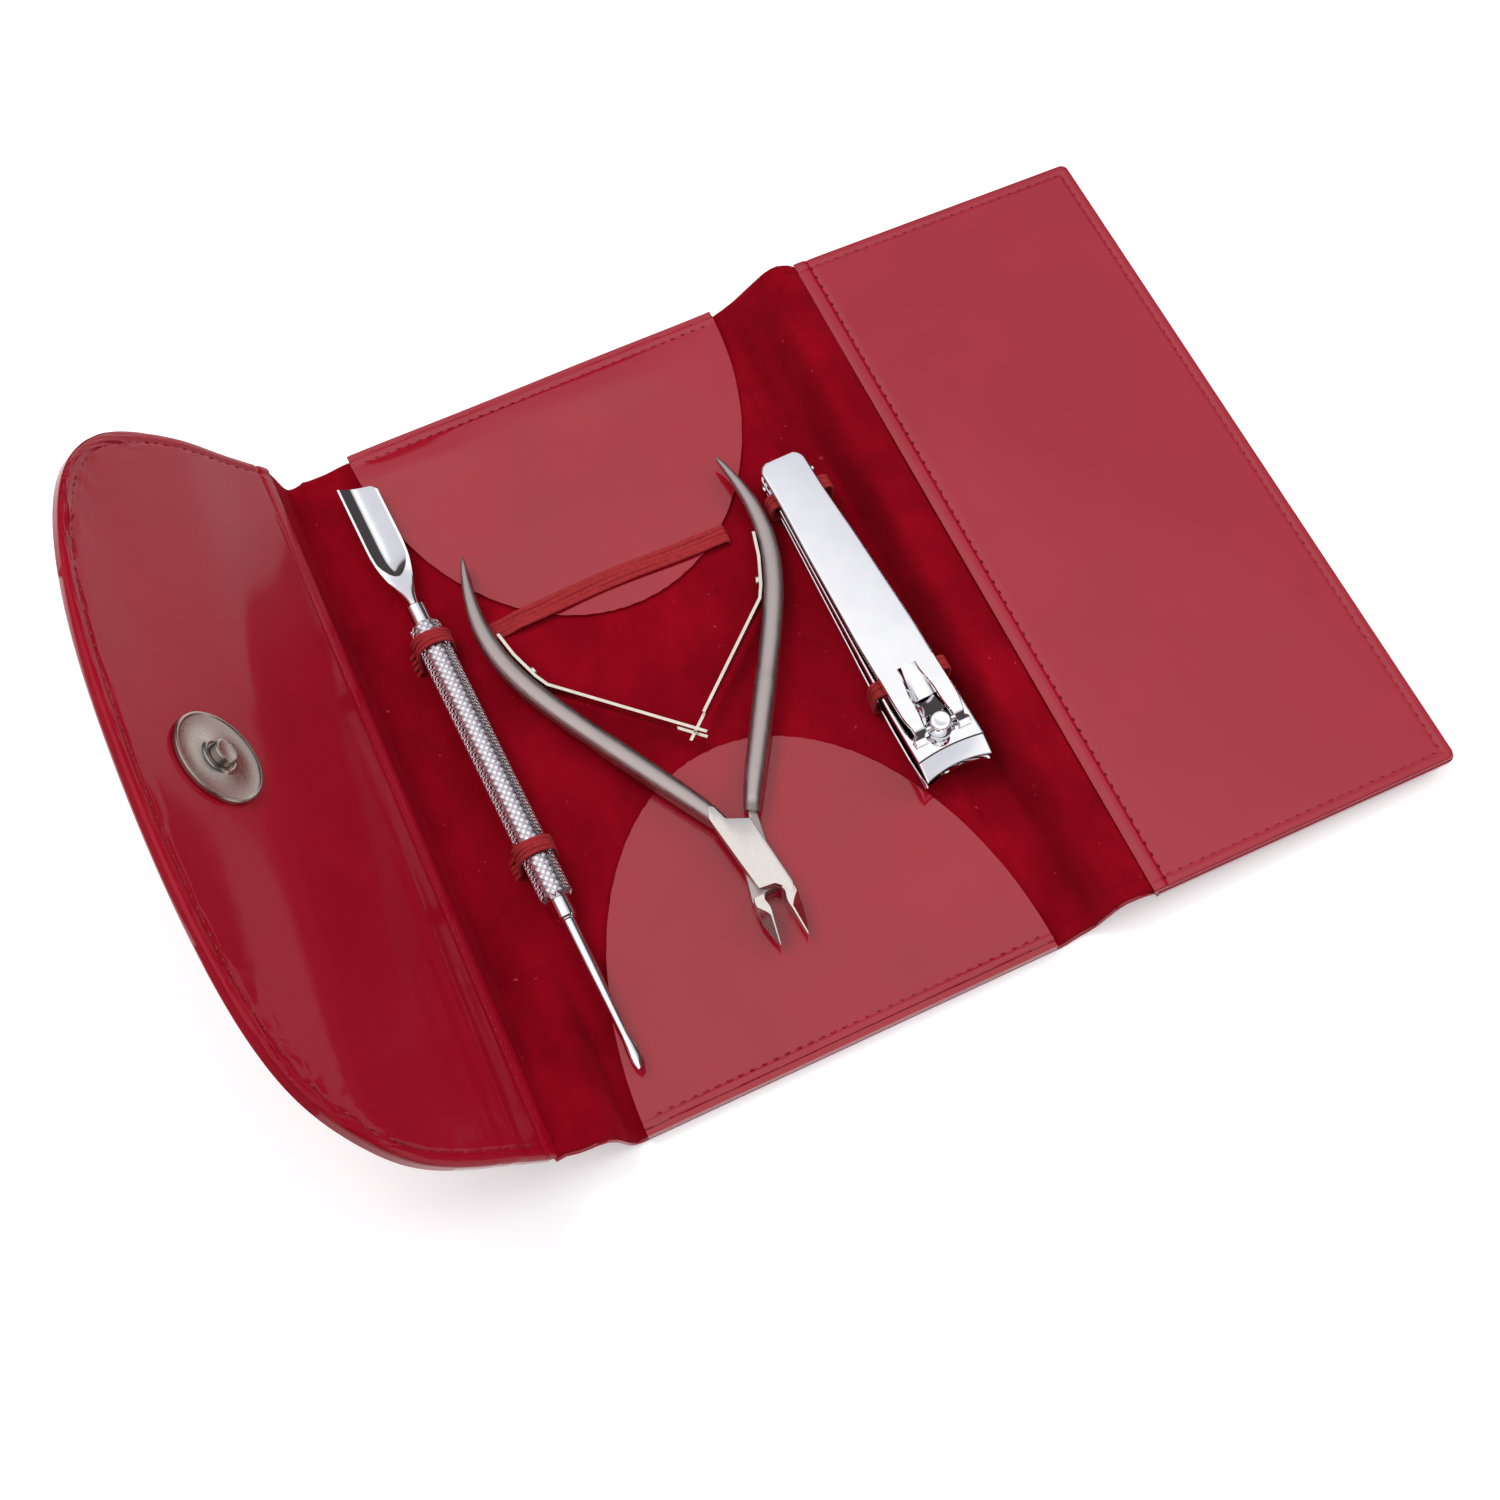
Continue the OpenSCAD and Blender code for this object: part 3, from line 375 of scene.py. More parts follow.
# Pockets: two half ovals of patent leather over the panel's ends, each with its straight edge under
# the turned leather and sewn 3 mm in. The lip is a raw cut edge, and near the spoon it lifts.
def half_oval(deep, wide, reach, half, side_power, end_power):
    """A square spread over half an oval: across = half b (1 - a^q / 2)^(1/p) and out = reach a
    (1 - |b|^p / 2)^(1/q), so that the square's three other sides lie on the oval's rim."""
    a, b = np.meshgrid(deep, wide, indexing="ij")
    out = reach * a * (1 - np.abs(b) ** side_power / 2) ** (1 / end_power)
    return out, half * b * (1 - a ** end_power / 2) ** (1 / side_power)


def rim_distance(p, q, rim_p, rim_q):
    """Distance of each point to a line of short straight bits."""
    a = np.stack([rim_p[:-1], rim_q[:-1]], -1)
    way = np.stack([np.diff(rim_p), np.diff(rim_q)], -1)
    points = np.stack([p.ravel(), q.ravel()], -1)[:, None, :]
    share = np.clip(((points - a) * way).sum(-1) / ((way ** 2).sum(-1) + 1e-12), 0, 1)
    return np.linalg.norm(points - a - share[..., None] * way, axis=-1).min(1).reshape(p.shape)


# Grid lines in from a leather edge, closest where it rolls and at its seam, and the step between
FINE = (0, 0.1, 0.25, 0.45, 0.7, 1.0, 1.2, 1.35, 1.5, 1.8, 2.2, 2.6, 2.8, 3.0, 3.2, 3.4, 3.8, 4.6, 5.8, 7.4)
PACE = 1.8


def lengths(line):
    """How far along a line of points each of them lies."""
    return np.concatenate([[0], np.cumsum(np.linalg.norm(np.diff(line, axis=0), axis=1))])


def taken(line, at):
    """Points of a line at given lengths along it."""
    return np.stack([np.interp(at, lengths(line), column) for column in np.transpose(line)], -1)


def stitches(line, upward, pitch=2.3, length=1.5, thick=0.17):
    """Thread stitches along a line of points: each a spindle, length long and thick in radius, half
    sunk in the leather, its ends going down into their holes."""
    middles = np.arange(pitch / 2, lengths(line)[-1], pitch)
    at, along = taken(line, middles), taken(line, middles + 0.4) - taken(line, middles - 0.4)
    along /= np.linalg.norm(along, axis=1)[:, None]
    beside = np.cross(upward, along)
    s, turn = np.meshgrid([-0.5, -0.42, -0.2, 0.2, 0.42, 0.5], np.linspace(0, 2 * pi, 6, endpoint=False),
                          indexing="ij")
    r = thick * np.sqrt(1.02 - (2 * s) ** 4)
    sink = -0.35 * np.abs(2 * s) ** 5
    spindle = (at[:, None, None] + along[:, None, None] * (s * length)[..., None]
               + beside[:, None, None] * (r * np.cos(turn))[..., None]
               + np.array(upward) * (r * np.sin(turn) + sink)[..., None])
    return [tube(one) for one in spindle]


def sewing_thread(name, low, high):
    """Twisted polyester thread, dyed. Its twist is drawn as 0.3 mm bars."""
    made, tree, shader = finish(name, base_color=linear(low), roughness=0.7, specular_ior_level=0.3)
    place = node(tree, "ShaderNodeTexCoord").outputs["Object"]
    twist = node(tree, "ShaderNodeTexWave", {"Vector": place, "Scale": 520, "Distortion": 1.5},
                 bands_direction="DIAGONAL")
    shade = node(tree, "ShaderNodeValToRGB", {"Fac": twist.outputs["Fac"]},
                 [(0.2, linear(low)), (0.8, linear(high))])
    tree.links.new(shade.outputs["Color"], shader.inputs["Base Color"])
    return made


# The seams round the panels are sewn in the leather's red. The front panel's hem is sewn in a darker red,
# made darker still as painted shade of the holes its stitches sink into.
thread = sewing_thread("red polyester thread", "#7e1620", "#a03440")
hem_thread_painted_shade = sewing_thread("dark red thread with painted hole shade", "#5a0810", "#801522")

POCKET_TOP, POCKET_SEAM = 3.3, 3.0


def pocket(side, lip, lifts):
    """Half oval 0.8 mm thick. Its face is puffed a little, drops to the turned edge 1.3 mm from the
    panel's end, is pressed in at the seam, and rises by each of lifts: height, x, end distance and
    two widths of a bell."""
    reach = case_half - lip
    out, x = half_oval(closer(reach, FINE, PACE), 2 * closer(2 * board_half, FINE, PACE) - 1, reach - 0.08,
                       board_half - 0.05, 2, 2)
    turn = np.linspace(-pi / 2, pi / 2, 400)
    edge = rim_distance(out, x, reach * np.cos(turn), board_half * np.sin(turn))
    ragged = 0.09 * np.sin(x * 2.1 + np.sin(x * 5.3)) * np.exp(-edge / 0.6)
    puff = 0.18 * smooth(out / 9) * smooth(edge / 9) + 0.10 * np.sin(x / 9 + out / 15) * smooth(edge / 12)
    z = POCKET_TOP + puff
    for height, at_x, at_out, wide, deep in lifts:
        z = z + bell(x - at_x, wide, height) * bell(out - at_out, deep, 1) * smooth((out - 2.8) / 2.5)
    drop = rolled(edge, 0.16) + 0.3 * (1 - smooth((out - 1.15) / 0.2))
    top = z - drop - bell(out - POCKET_SEAM, 0.35, 0.16) + bell(out - 2.1, 0.5, 0.12)
    y = side * (case_half - 0.05 - out - ragged)
    leaf = sheet(np.stack([x, y, top], -1), np.stack([x, y, z - leather_t + rolled(edge, 0.12)], -1))
    line = np.linspace(-38.8, 38.8, 60)
    seam_y = side * (case_half - 0.05 - POCKET_SEAM)
    seam = np.stack(np.broadcast_arrays(line, seam_y, POCKET_TOP - 0.05), -1)
    return [leaf], stitches(seam, (0, 0, 1))


for name, side, lip, lifts in (
        ("upper_pocket", 1, 20.5, [(0.75, -27, 8.5, 9, 4.5), (0.5, -36, 9, 5, 6), (0.35, 12, 8, 14, 5)]),
        ("lower_pocket", -1, 14.5, [(0.4, 33, 12, 5, 6), (0.25, -20, 9, 10, 6)])):
    leaf, seam = pocket(side, lip, lifts)
    piece(name, leaf, leather, "back")
    piece(name + "_stitches", seam, thread, "back")


# Front panel: outer leather turned round a board, with a facing of the same leather glued and sewn
# on three sides. Its inner edge is a hem, sewn 3 mm in, that stands clear of the velvet.
def seat(joint, slope, side):
    """Where a flat panel sits: its fold line, its way out from the back panel and its upward way."""
    x, _, z = [1000 * v for v in next(j["pos_m"] for j in frame["joints"] if j["name"] == joint)]
    s = radians(slope)
    return np.array([x, 0, z]), np.array([side * cos(s), 0, sin(s)]), np.array([-side * sin(s), 0, cos(s)])


def on_panel(at, out, y, high):
    """Points that lie out from the fold line, along y and high above the panel's inner face."""
    start, away, above = at
    out, y, high = np.broadcast_arrays(out, y, high)
    return start + out[..., None] * away + y[..., None] * np.array([0, 1, 0]) + high[..., None] * above


FRONT = seat("front_panel_fold", -2.24, 1)
front_w, front_t = 65, 3.2
# The facing's reach from the fold line and half its length, its seam, and its hem's seam
facing_w, facing_half, facing_seam, hem_seam = front_w - 0.3, case_half - 0.35, 2.2, 2.4


def cut_corners(out, y, far, half, radius=1.6):
    """Rounds a panel's two outer corners: inside each corner's square the points are drawn in by
    max(u, v) / sqrt(u^2 + v^2), which takes the square to a quarter disc."""
    u = np.clip((out - far + radius) / radius, 0, 1)
    v = np.clip((np.abs(y) - half + radius) / radius, 0, 1)
    pull = 1 - np.maximum(u, v) / np.sqrt(u ** 2 + v ** 2 + 1e-9)
    pull *= (u > 0) & (v > 0)
    return out - radius * u * pull, y - np.sign(y) * radius * v * pull


def front_facing():
    """Facing with a bead 2.9 mm wide along its inner edge, a sunk seam beside it, and a pillow
    between the outer seam and the rim. The field is a little wavy."""
    reach = facing_w + 0.75
    inner, y = np.meshgrid(reach * closer(reach, FINE, PACE),
                           facing_half * (2 * closer(2 * facing_half, FINE, PACE) - 1), indexing="ij")
    out = inner - 0.75
    edge = np.minimum(facing_w - out, facing_half - np.abs(y))
    z = 0.22 * np.sqrt(np.clip(1 - ((inner - 1.4) / 1.45) ** 2, 0, 1)) - bell(out - hem_seam, 0.3, 0.16)
    z += bell(edge - 1.3, 0.6, 0.08) - bell(edge - facing_seam, 0.4, 0.14) - rolled(edge, 0.45)
    z += 0.012 * np.sin(y / 0.4) * bell(out - hem_seam, 0.7, 1)
    waves = 0.12 * np.sin(y / 31 + 0.6) * np.sin(out / 17) + 0.05 * np.sin(y / 11 + out / 19)
    z += smooth((inner - 3) / 12) * smooth((edge - 3) / 14) * waves
    low = np.minimum(rolled(inner, 0.5) - leather_t, z - 0.12)
    out, y = cut_corners(out, y, facing_w, facing_half)
    return sheet(on_panel(FRONT, out, y, z), on_panel(FRONT, out, y, low))


def front_back():
    """Outer leather as a tray: 0.8 mm thick under the board, its rim turned up to the facing."""
    rim = np.array([0, 0.1, 0.3, 0.6, 0.9, 1.25, 1.4, 1.5])
    deep = np.concatenate([np.maximum(rim, 0.15), np.arange(3, 62, 2.5), front_w - rim[::-1]])
    wide = np.concatenate([rim - case_half, np.arange(-75, 75.1, 2.5), case_half - rim[::-1]])
    out, y = np.meshgrid(deep, wide, indexing="ij")
    side = np.minimum(front_w - out, case_half - np.abs(y))
    edge = np.minimum(out, side)
    top = -0.82 - 1.58 * smooth((edge - 1.3) / 0.18) - 0.3 * rolled(side, 0.7)
    low = -front_t + rolled(side, 0.8) + 0.06 * np.sin(y / 23) * np.sin(out / 13) * smooth(edge / 8)
    low = np.minimum(low, top - 0.1)
    out, y = cut_corners(out, y, front_w, case_half, 1.9)
    return sheet(on_panel(FRONT, out, y, top), on_panel(FRONT, out, y, low))


def seam_line(at, ends, high, count=60):
    """A straight seam between two places on a panel, each out and y."""
    out, y = np.linspace(ends[0][0], ends[1][0], count), np.linspace(ends[0][1], ends[1][1], count)
    return on_panel(at, out, y, high)


piece("front_facing", [front_facing()], leather, "front_panel")
piece("front_outer", [front_back()], leather, "front_panel")
far, half = facing_w - facing_seam, facing_half - facing_seam
corners = [(hem_seam, -half), (far, -half), (far, half), (hem_seam, half)]
seams = [stitches(seam_line(FRONT, pair, -0.12), FRONT[2]) for pair in zip(corners, corners[1:])]
piece("front_stitches", sum(seams, []), thread, "front_panel")
# The hem thread's extra darkness is painted shade of its stitch holes
hem = seam_line(FRONT, [(hem_seam, 0.9 - case_half), (hem_seam, case_half - 0.9)], -0.2)
piece("hem_stitches", stitches(hem, FRONT[2], pitch=2.5, length=1.0, thick=0.3), hem_thread_painted_shade,
      "front_panel")


# Flap: half an oval of the same build, board between two leathers. The facing is sewn all round
# 2.4 mm in, gathers in small puckers where the rim curves, and is a little wavy.
FLAP = seat("flap_fold", 57.3, -1)
flap_len, flap_half, flap_t, flap_seam, snap_out = 66.6, 76.0, 2.6, 2.4, 45.9


def flap_rim(inset):
    """The flap's outline moved inwards, from one end of the fold to the other, with the length
    along it: |out / length|^4.5 + |y / half|^2.2 = 1."""
    y = np.sin(np.linspace(-pi / 2, pi / 2, 900))
    out = np.concatenate([[0], flap_len * (1 - np.abs(y) ** 2.2) ** (1 / 4.5), [0]])
    y = flap_half * np.concatenate([[-1], y, [1]])
    way = np.stack([np.gradient(out), np.gradient(y)], -1)
    way /= np.linalg.norm(way, axis=1)[:, None] + 1e-9
    return out - inset * way[:, 1], y + inset * way[:, 0]


def flap_lean(out, y):
    """How far the flap's face leaves its plane: a low ridge and a hollow run along it, flattened
    round the snap, and two folds of the lining show through along the near half's inner edge."""
    waves = bell(out - 34 + 0.16 * y, 9, 0.6) - bell(out - 54 + 0.05 * y, 8, 0.4)
    waves += 0.25 * np.sin(y / 16 + out / 25) * smooth(out / 15)
    folds = bell(out - 10 + 0.045 * (y + 60), 1.6, 0.35) * smooth((-y - 5) / 25)
    folds += bell(out - 14.5 + 0.06 * (y + 60), 1.3, 0.25) * smooth((-y - 25) / 20)
    return waves * (1 - bell(np.hypot(out - snap_out, y), 15, 1)) + folds


def flap_grid(inset):
    """The flap's half oval as a grid of out and y, with the distance to its rim and to the fold."""
    inner, y = half_oval(closer(flap_len, FINE, PACE), 2 * closer(2 * flap_half, FINE, PACE) - 1,
                         flap_len - 0.6 - inset, flap_half - inset, 2.2, 4.5)
    out = inner + 0.6
    return out, y, rim_distance(out, y, *flap_rim(0)), inner


def flap_facing():
    """Facing with a bead along the fold, a sunk seam round the rim and puckers 1.7 mm apart that
    run across the rim where it curves."""
    out, y, edge, inner = flap_grid(0)
    lean = flap_lean(out, y) * smooth(inner / 5)
    curve = smooth((np.abs(y) - 30) / 25) * smooth((out - 28) / 20)
    run = y * 1.3 - out * 0.9 * np.sign(y)
    pucker = np.sin(2 * pi * run / 1.7 + 1.5 * np.sin(run / 3)) * np.exp(-np.abs(edge - 3.0) / 2.6)
    z = lean - bell(edge - flap_seam, 0.38, 0.2) - rolled(edge, 0.75)
    z += bell(edge - 1.4, 0.6, 0.1) + (0.05 + 0.2 * curve) * pucker
    z += 0.15 * np.sqrt(np.clip(1 - ((inner - 0.9) / 1.1) ** 2, 0, 1)) - bell(inner - 2.3, 0.25, 0.16)
    low = np.minimum(lean - leather_t + rolled(inner, 0.3), z - 0.12)
    out = out - 0.9 * (1 - smooth(inner / 3))
    return sheet(on_panel(FLAP, out, y, z), on_panel(FLAP, out, y, low))


def flap_back():
    """Outer leather as a tray 1.8 mm deep round the board, bent as the facing is."""
    out, y, edge, inner = flap_grid(0)
    lean = flap_lean(out, y) * smooth(inner / 5)
    top = lean - 0.82 - smooth((np.minimum(edge, inner) - 1.3) / 0.2)
    edge = np.minimum(edge, inner + 0.4)
    low = lean - flap_t + rolled(edge, 0.9) + 0.05 * np.sin(y / 19 + out / 8) * smooth(edge / 8)
    return sheet(on_panel(FLAP, out, y, top), on_panel(FLAP, out, y, np.minimum(low, top - 0.1)))


def flap_card():
    """Board 0.94 mm thick, 1.45 mm inside the rim, bent as the leathers are."""
    out, y, _, inner = flap_grid(1.45)
    out = np.maximum(out, 2.0)
    lean = flap_lean(out, y) * smooth(inner / 5)
    return sheet(on_panel(FLAP, out, y, lean - 0.84), on_panel(FLAP, out, y, lean - 1.78))


# The facing's lacquer is dulled by handling, so its coat weighs less and blurs what it mirrors
flap_leather = patent("handled red patent leather", 0.25, 0.11)
piece("flap_facing", [flap_facing()], flap_leather, "flap")
piece("flap_outer", [flap_back()], leather, "flap")
# Grey-brown bookbinder's card stiffens all three panels
card, tree, shader = finish("bookbinder's card", base_color=linear("#b09a78"), roughness=0.9)
place = node(tree, "ShaderNodeTexCoord").outputs["Object"]
fibre = node(tree, "ShaderNodeTexNoise", {"Vector": place, "Scale": 900, "Detail": 5})
shade = node(tree, "ShaderNodeValToRGB", {"Fac": fibre.outputs["Fac"]},
             [(0.35, linear("#a48d6a")), (0.65, linear("#c4b190"))])
tree.links.new(shade.outputs["Color"], shader.inputs["Base Color"])
piece("flap_board", [flap_card()], card, "flap")
rim_out, rim_y = flap_rim(flap_seam)
keep = (rim_out > 3.4) & (np.abs(rim_y) < flap_half - flap_seam)
rim_out, rim_y = rim_out[keep], rim_y[keep]
line = on_panel(FLAP, rim_out, rim_y, flap_lean(rim_out, rim_y) - 0.14)
along_fold = seam_line(FLAP, [(2.2, 2.8 - flap_half), (2.2, flap_half - 2.8)], -0.1, 80)
piece("flap_stitches", stitches(line, FLAP[2], pitch=2.35) + stitches(along_fold, FLAP[2]), thread,
      "flap")


# Hidden layers: the back and front panels' boards and the front panel's own lining. They are shut
# inside the leather and keep the CAD's shapes.
def dress(material, *names):
    """Gives CAD pieces a material and leaves their shapes."""
    for name in names:
        frame["nodes"][name].data.materials.clear()
        frame["nodes"][name].data.materials.append(material)


dress(card, "back_board", "front_board")
dress(velvet, "front_lining")


# Magnetic snap: a turned brass disc with a post on the flap, nickel plated, clenched through the
# leather to a washer. The front panel carries its socket, a cup round a ring magnet.
def metal(name, low, high, rough, streak, scale, depth):
    """A metal whose colour, roughness and fine relief follow streaks: streak stretches the pattern
    along an axis, and scale is lines per metre."""
    made, tree, shader = finish(name, metallic=1, base_color=linear(high), roughness=rough)
    place = node(tree, "ShaderNodeTexCoord").outputs["Object"]
    long = node(tree, "ShaderNodeMapping", {"Vector": place, "Scale": streak}).outputs["Vector"]
    lines = node(tree, "ShaderNodeTexNoise", {"Vector": long, "Scale": scale, "Detail": 3})
    shade = node(tree, "ShaderNodeValToRGB", {"Fac": lines.outputs["Fac"]},
                 [(0.3, linear(low)), (0.7, linear(high))])
    haze = node(tree, "ShaderNodeMapRange", {"Value": lines.outputs["Fac"], 1: 0.3, 2: 0.7,
                                             3: rough * 0.85, 4: rough * 1.15})
    relief = node(tree, "ShaderNodeBump", {"Height": lines.outputs["Fac"], "Strength": depth,
                                           "Distance": 0.0001})
    tree.links.new(shade.outputs["Color"], shader.inputs["Base Color"])
    tree.links.new(haze.outputs["Result"], shader.inputs["Roughness"])
    tree.links.new(relief.outputs["Normal"], shader.inputs["Normal"])
    return made


nickel = metal("nickel plated brass", "#aaa199", "#b2a9a0", 0.3, (1, 1, 1), 2500, 0.02)
ferrite = metal("sintered ferrite magnet", "#2a2a2c", "#3c3b3c", 0.6, (1, 1, 1), 2400, 0.5)


def round_bar(rows, place, count=40, ends=True):
    """A turned shape: rows of radius and way along, carried round an axis and put in place by a
    function of two ways across and the way along."""
    turn = np.linspace(0, 2 * pi, count, endpoint=False)
    radius, along = np.array(rows).T
    return tube(place(radius[:, None] * np.cos(turn), radius[:, None] * np.sin(turn),
                      along[:, None] + 0 * turn), ends)


def turned(at, out, profile, ends=True):
    """A turned shape whose axis stands square on a panel."""
    return round_bar(profile, lambda a, b, c: on_panel(at, out + a, b, c), 96, ends)


disc = [(8.5, 0), (8.85, 0.05), (9, 0.2), (9, 0.85), (8.95, 1.0), (8.85, 1.1), (8.72, 1.14), (8.55, 1.15),
        (8.42, 1.12), (8.3, 1.02), (8.15, 0.98), (3.75, 0.98), (3.62, 1.02), (3.5, 1.12), (3.35, 1.28),
        (3.15, 1.36), (2.95, 1.36), (2.75, 1.3), (2.66, 1.2), (2.6, 1.05), (2.44, 1.05), (2.4, 1.15),
        (2.4, 2.4), (2.4, 2.7), (2.36, 2.85), (2.27, 2.95), (2.15, 3.0), (1.9, 3.0), (1.85, 2.97),
        (1.78, 2.95)]
piece("snap_disc", [turned(FLAP, snap_out, disc)], nickel, "flap", crease=28)
cup = [(2.75, -3.25), (2.75, -5.85), (2.85, -5.9), (8.2, -5.9), (8.5, -5.87), (8.72, -5.75), (8.88, -5.55),
       (8.95, -5.3), (9, -5.0), (9, -3.4), (8.93, -3.25), (8.8, -3.2)]
piece("snap_socket", [turned(FRONT, 50, cup, ends=False)], nickel, "front_panel", crease=28)
dress(ferrite, "snap_magnet")
dress(nickel, "socket_washer", "disc_washer")


# Elastic: five ribbed pieces 3.2 mm wide, each four cords of rubber in a rayon cover, sewn down at
# both ends: two pusher loops, a long band over the upper pocket and two clipper loops.
def rounded(points, radius, pace=0.3):
    """A line of points, resampled and averaged over a radius to each side, so corners turn."""
    points = np.array(points, float)
    whole = lengths(points)[-1]
    at = np.linspace(0, whole, int(whole / pace) + 2)
    reach = np.minimum(np.minimum(at, whole - at), radius)[:, None] * np.linspace(-1, 1, 13)
    return taken(points, at[:, None] + reach).mean(1)


def cords(path, y, fan=(0, 0, 0, 0), spread=0.78):
    """Four rubber cords in their cover, side by side along a path of x and z, their middles spread
    apart about y; fan is how far each strays at the path's start. Each is a flattened round."""
    ahead = np.gradient(path, axis=0)
    ahead /= np.linalg.norm(ahead, axis=1)[:, None]
    share = np.linspace(0, 1, len(path))[:, None]
    a, b = rim_points(0.58 * spread, 0.36, 2.2, 12)
    made = []
    for k, stray in enumerate(fan):
        wander = stray * (1 - smooth(share / 0.55)) + 0.08 * np.sin(9 * share + 2 * k)
        side = np.reshape(y, (-1, 1)) + (k - 1.5) * spread + wander + a
        lift = b + 0.05 * np.sin(11 * share + 1.7 * k)
        made.append(tube(np.stack([path[:, :1] - ahead[:, 1:] * lift, side,
                                   path[:, 1:] + ahead[:, :1] * lift], -1)))
    return made


elastic, tree, shader = finish("ribbed rayon elastic", roughness=0.85, specular_ior_level=0.2,
                               sheen_weight=0.25, sheen_roughness=0.5, sheen_tint=linear("#e06060"))
place = node(tree, "ShaderNodeTexCoord").outputs["Object"]
weave = node(tree, "ShaderNodeTexNoise", {"Vector": place, "Scale": 1500, "Detail": 2})
shade = node(tree, "ShaderNodeValToRGB", {"Fac": weave.outputs["Fac"]},
             [(0.1, linear("#8a1e22")), (0.9, linear("#a93438"))])
relief = node(tree, "ShaderNodeBump", {"Height": weave.outputs["Fac"], "Strength": 0.35,
                                       "Distance": 0.0001})
tree.links.new(shade.outputs["Color"], shader.inputs["Base Color"])
tree.links.new(relief.outputs["Normal"], shader.inputs["Normal"])

PUSHER_Z, PUSHER_LEAN = 6.6, 0.0333


def pusher_x(y):
    """Where the pusher's axis crosses a line along x."""
    return -39.67 - PUSHER_LEAN * y


def pusher_loop(y, fan):
    """Loop from its sewn end beside the pusher, up round its handle and down on the other side."""
    x, r = pusher_x(y), 3.66
    turn = np.radians(np.arange(180, -1, -12))
    path = [(x - r - 1.4, 1.3), (x - r - 0.9, 2.1), (x - r - 0.3, 2.6), (x - r, 3.4)]
    path += list(zip(x + r * np.cos(turn), PUSHER_Z + r * np.sin(turn))) + [(x + r, 2.9)]
    return cords(rounded(path, 0.5), y, fan)


for name, y, fan in (("pusher_loop_upper", 27.6, (-1.3, -0.7, -0.1, 0.4)),
                     ("pusher_loop_lower", -20.6, (-0.5, -0.2, 0.1, 0.5))):
    piece(name, pusher_loop(y, fan), elastic, "back")

line = [(-29.0, 2.95), (-27.2, 2.95), (-25.2, 3.3), (-23.2, 3.9), (20.9, 3.9), (21.9, 3.6), (21.9, 2.6)]
path = rounded(line, 0.6)
share = np.linspace(0, 1, len(path))
sway = 27 + 0.35 * np.sin(pi * share) - 0.25 * np.sin(3 * pi * share)
piece("nipper_band", cords(path, sway, spread=0.98), elastic, "back")


def clipper_loop(y, left, right, over, bulge):
    """Loop turned in under the clipper on the left, up beside it, over its upper arm and down,
    where it bulges."""
    near, far = left - 0.4, right + 0.4 + bulge
    path = [(left + 2.4, 2.8), (left, 2.85), (near, 3.4), (near, over - 0.9), (left + 0.3, over),
            (right - 0.3, over), (far, over - 0.9), (far, 2.4), (right, 1.85), (right - 2.4, 1.8)]
    return cords(rounded(path, 0.9), y)


# Each clipper loop's sides and the height of its middle, from the CAD's own solids
for name, y, bulge in (("clipper_loop_upper", 27, 0.2), ("clipper_loop_lower", -20, 0.5)):
    low, high = [1000 * np.array(corner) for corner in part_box(name)]
    loop = clipper_loop(y, low[0] + 0.8, high[0] - 0.8, high[2] - 0.4, bulge)
    piece(name, loop, elastic, "back")


# Pusher: a steel rod with a knurled handle, ferrules, a scoop for the cuticle at one end and a
# small spade at the other. It is turned, stamped, ground and chrome plated.
chrome = metal("bright chrome plating", "#eeeef0", "#f4f4f4", 0.04, (1, 1, 1), 180, 0.004)
dull_chrome = metal("dull chrome plating", "#e8e5e8", "#efedef", 0.2, (1, 1, 1), 900, 0.02)


def on_pusher(side, above, along):
    """Points beside, above and along the pusher's axis; along runs towards the scoop."""
    lean = np.arctan(PUSHER_LEAN)
    side, above, along = np.broadcast_arrays(side, above, along)
    return np.stack([pusher_x(-0.1) + side * cos(lean) - along * sin(lean),
                     -0.1 + side * sin(lean) + along * cos(lean), PUSHER_Z + above], -1)


def knurled_handle():
    """Diamond knurl. Rows of groove crossings half a pitch apart, every second row turned by half a
    step, are the corners of diamonds; each diamond rises by deep to a flat top 0.6 as wide. The
    real diamonds are 1.0 mm round the handle and are drawn 1.3 mm, so that they show."""
    radius, length, around, pitch, deep = 3.15, 63.5, 15, 1.45, 0.36
    rows = 2 * int(length / pitch)
    row, step = np.meshgrid(np.arange(rows + 1), np.arange(around), indexing="ij")
    turn = 2 * pi / around * (step + 0.5 * (row % 2))
    along = length * (row / rows - 0.5)
    index, odd = row * around + step, row[1:-1] % 2
    left = np.where(odd, np.roll(index, 1, 1)[1:-1], index[1:-1])
    right = np.where(odd, index[1:-1], np.roll(index, -1, 1)[1:-1])
    corners = np.stack([index[:-2], right, index[2:], left], -1).reshape(-1, 4)
    middle = np.stack([2 * pi / around * (step[1:-1] + 0.5 * (1 - odd)), along[1:-1]], -1).reshape(-1, 1, 2)
    reach = np.array([[0, -1], [0.5, 0], [0, 1], [-0.5, 0]]) * [2 * pi / around, length / rows]
    tops = (middle + 0.6 * reach).reshape(-1, 2)
    top = (rows + 1) * around + np.arange(len(tops)).reshape(-1, 4)
    sides = [np.stack([corners[:, k], corners[:, k - 3], top[:, k - 3], top[:, k]], -1) for k in range(4)]
    ends = [np.stack([index[1], index[0], np.roll(index[0], -1)], -1),
            np.stack([index[-1], index[-2], np.roll(index[-1], -1)], -1)]
    turn, along = np.concatenate([np.stack([turn, along], -1).reshape(-1, 2), tops]).T
    r = np.where(np.arange(len(turn)) < index.size, radius - deep, radius)
    r = r * (0.84 + 0.16 * smooth((length / 2 - np.abs(along)) / 0.7))
    points = on_pusher(r * np.cos(turn), r * np.sin(turn), along + 0.65)
    return points, outward(points, sides + [top] + ends + [index[:1, ::-1], index[-1:]])


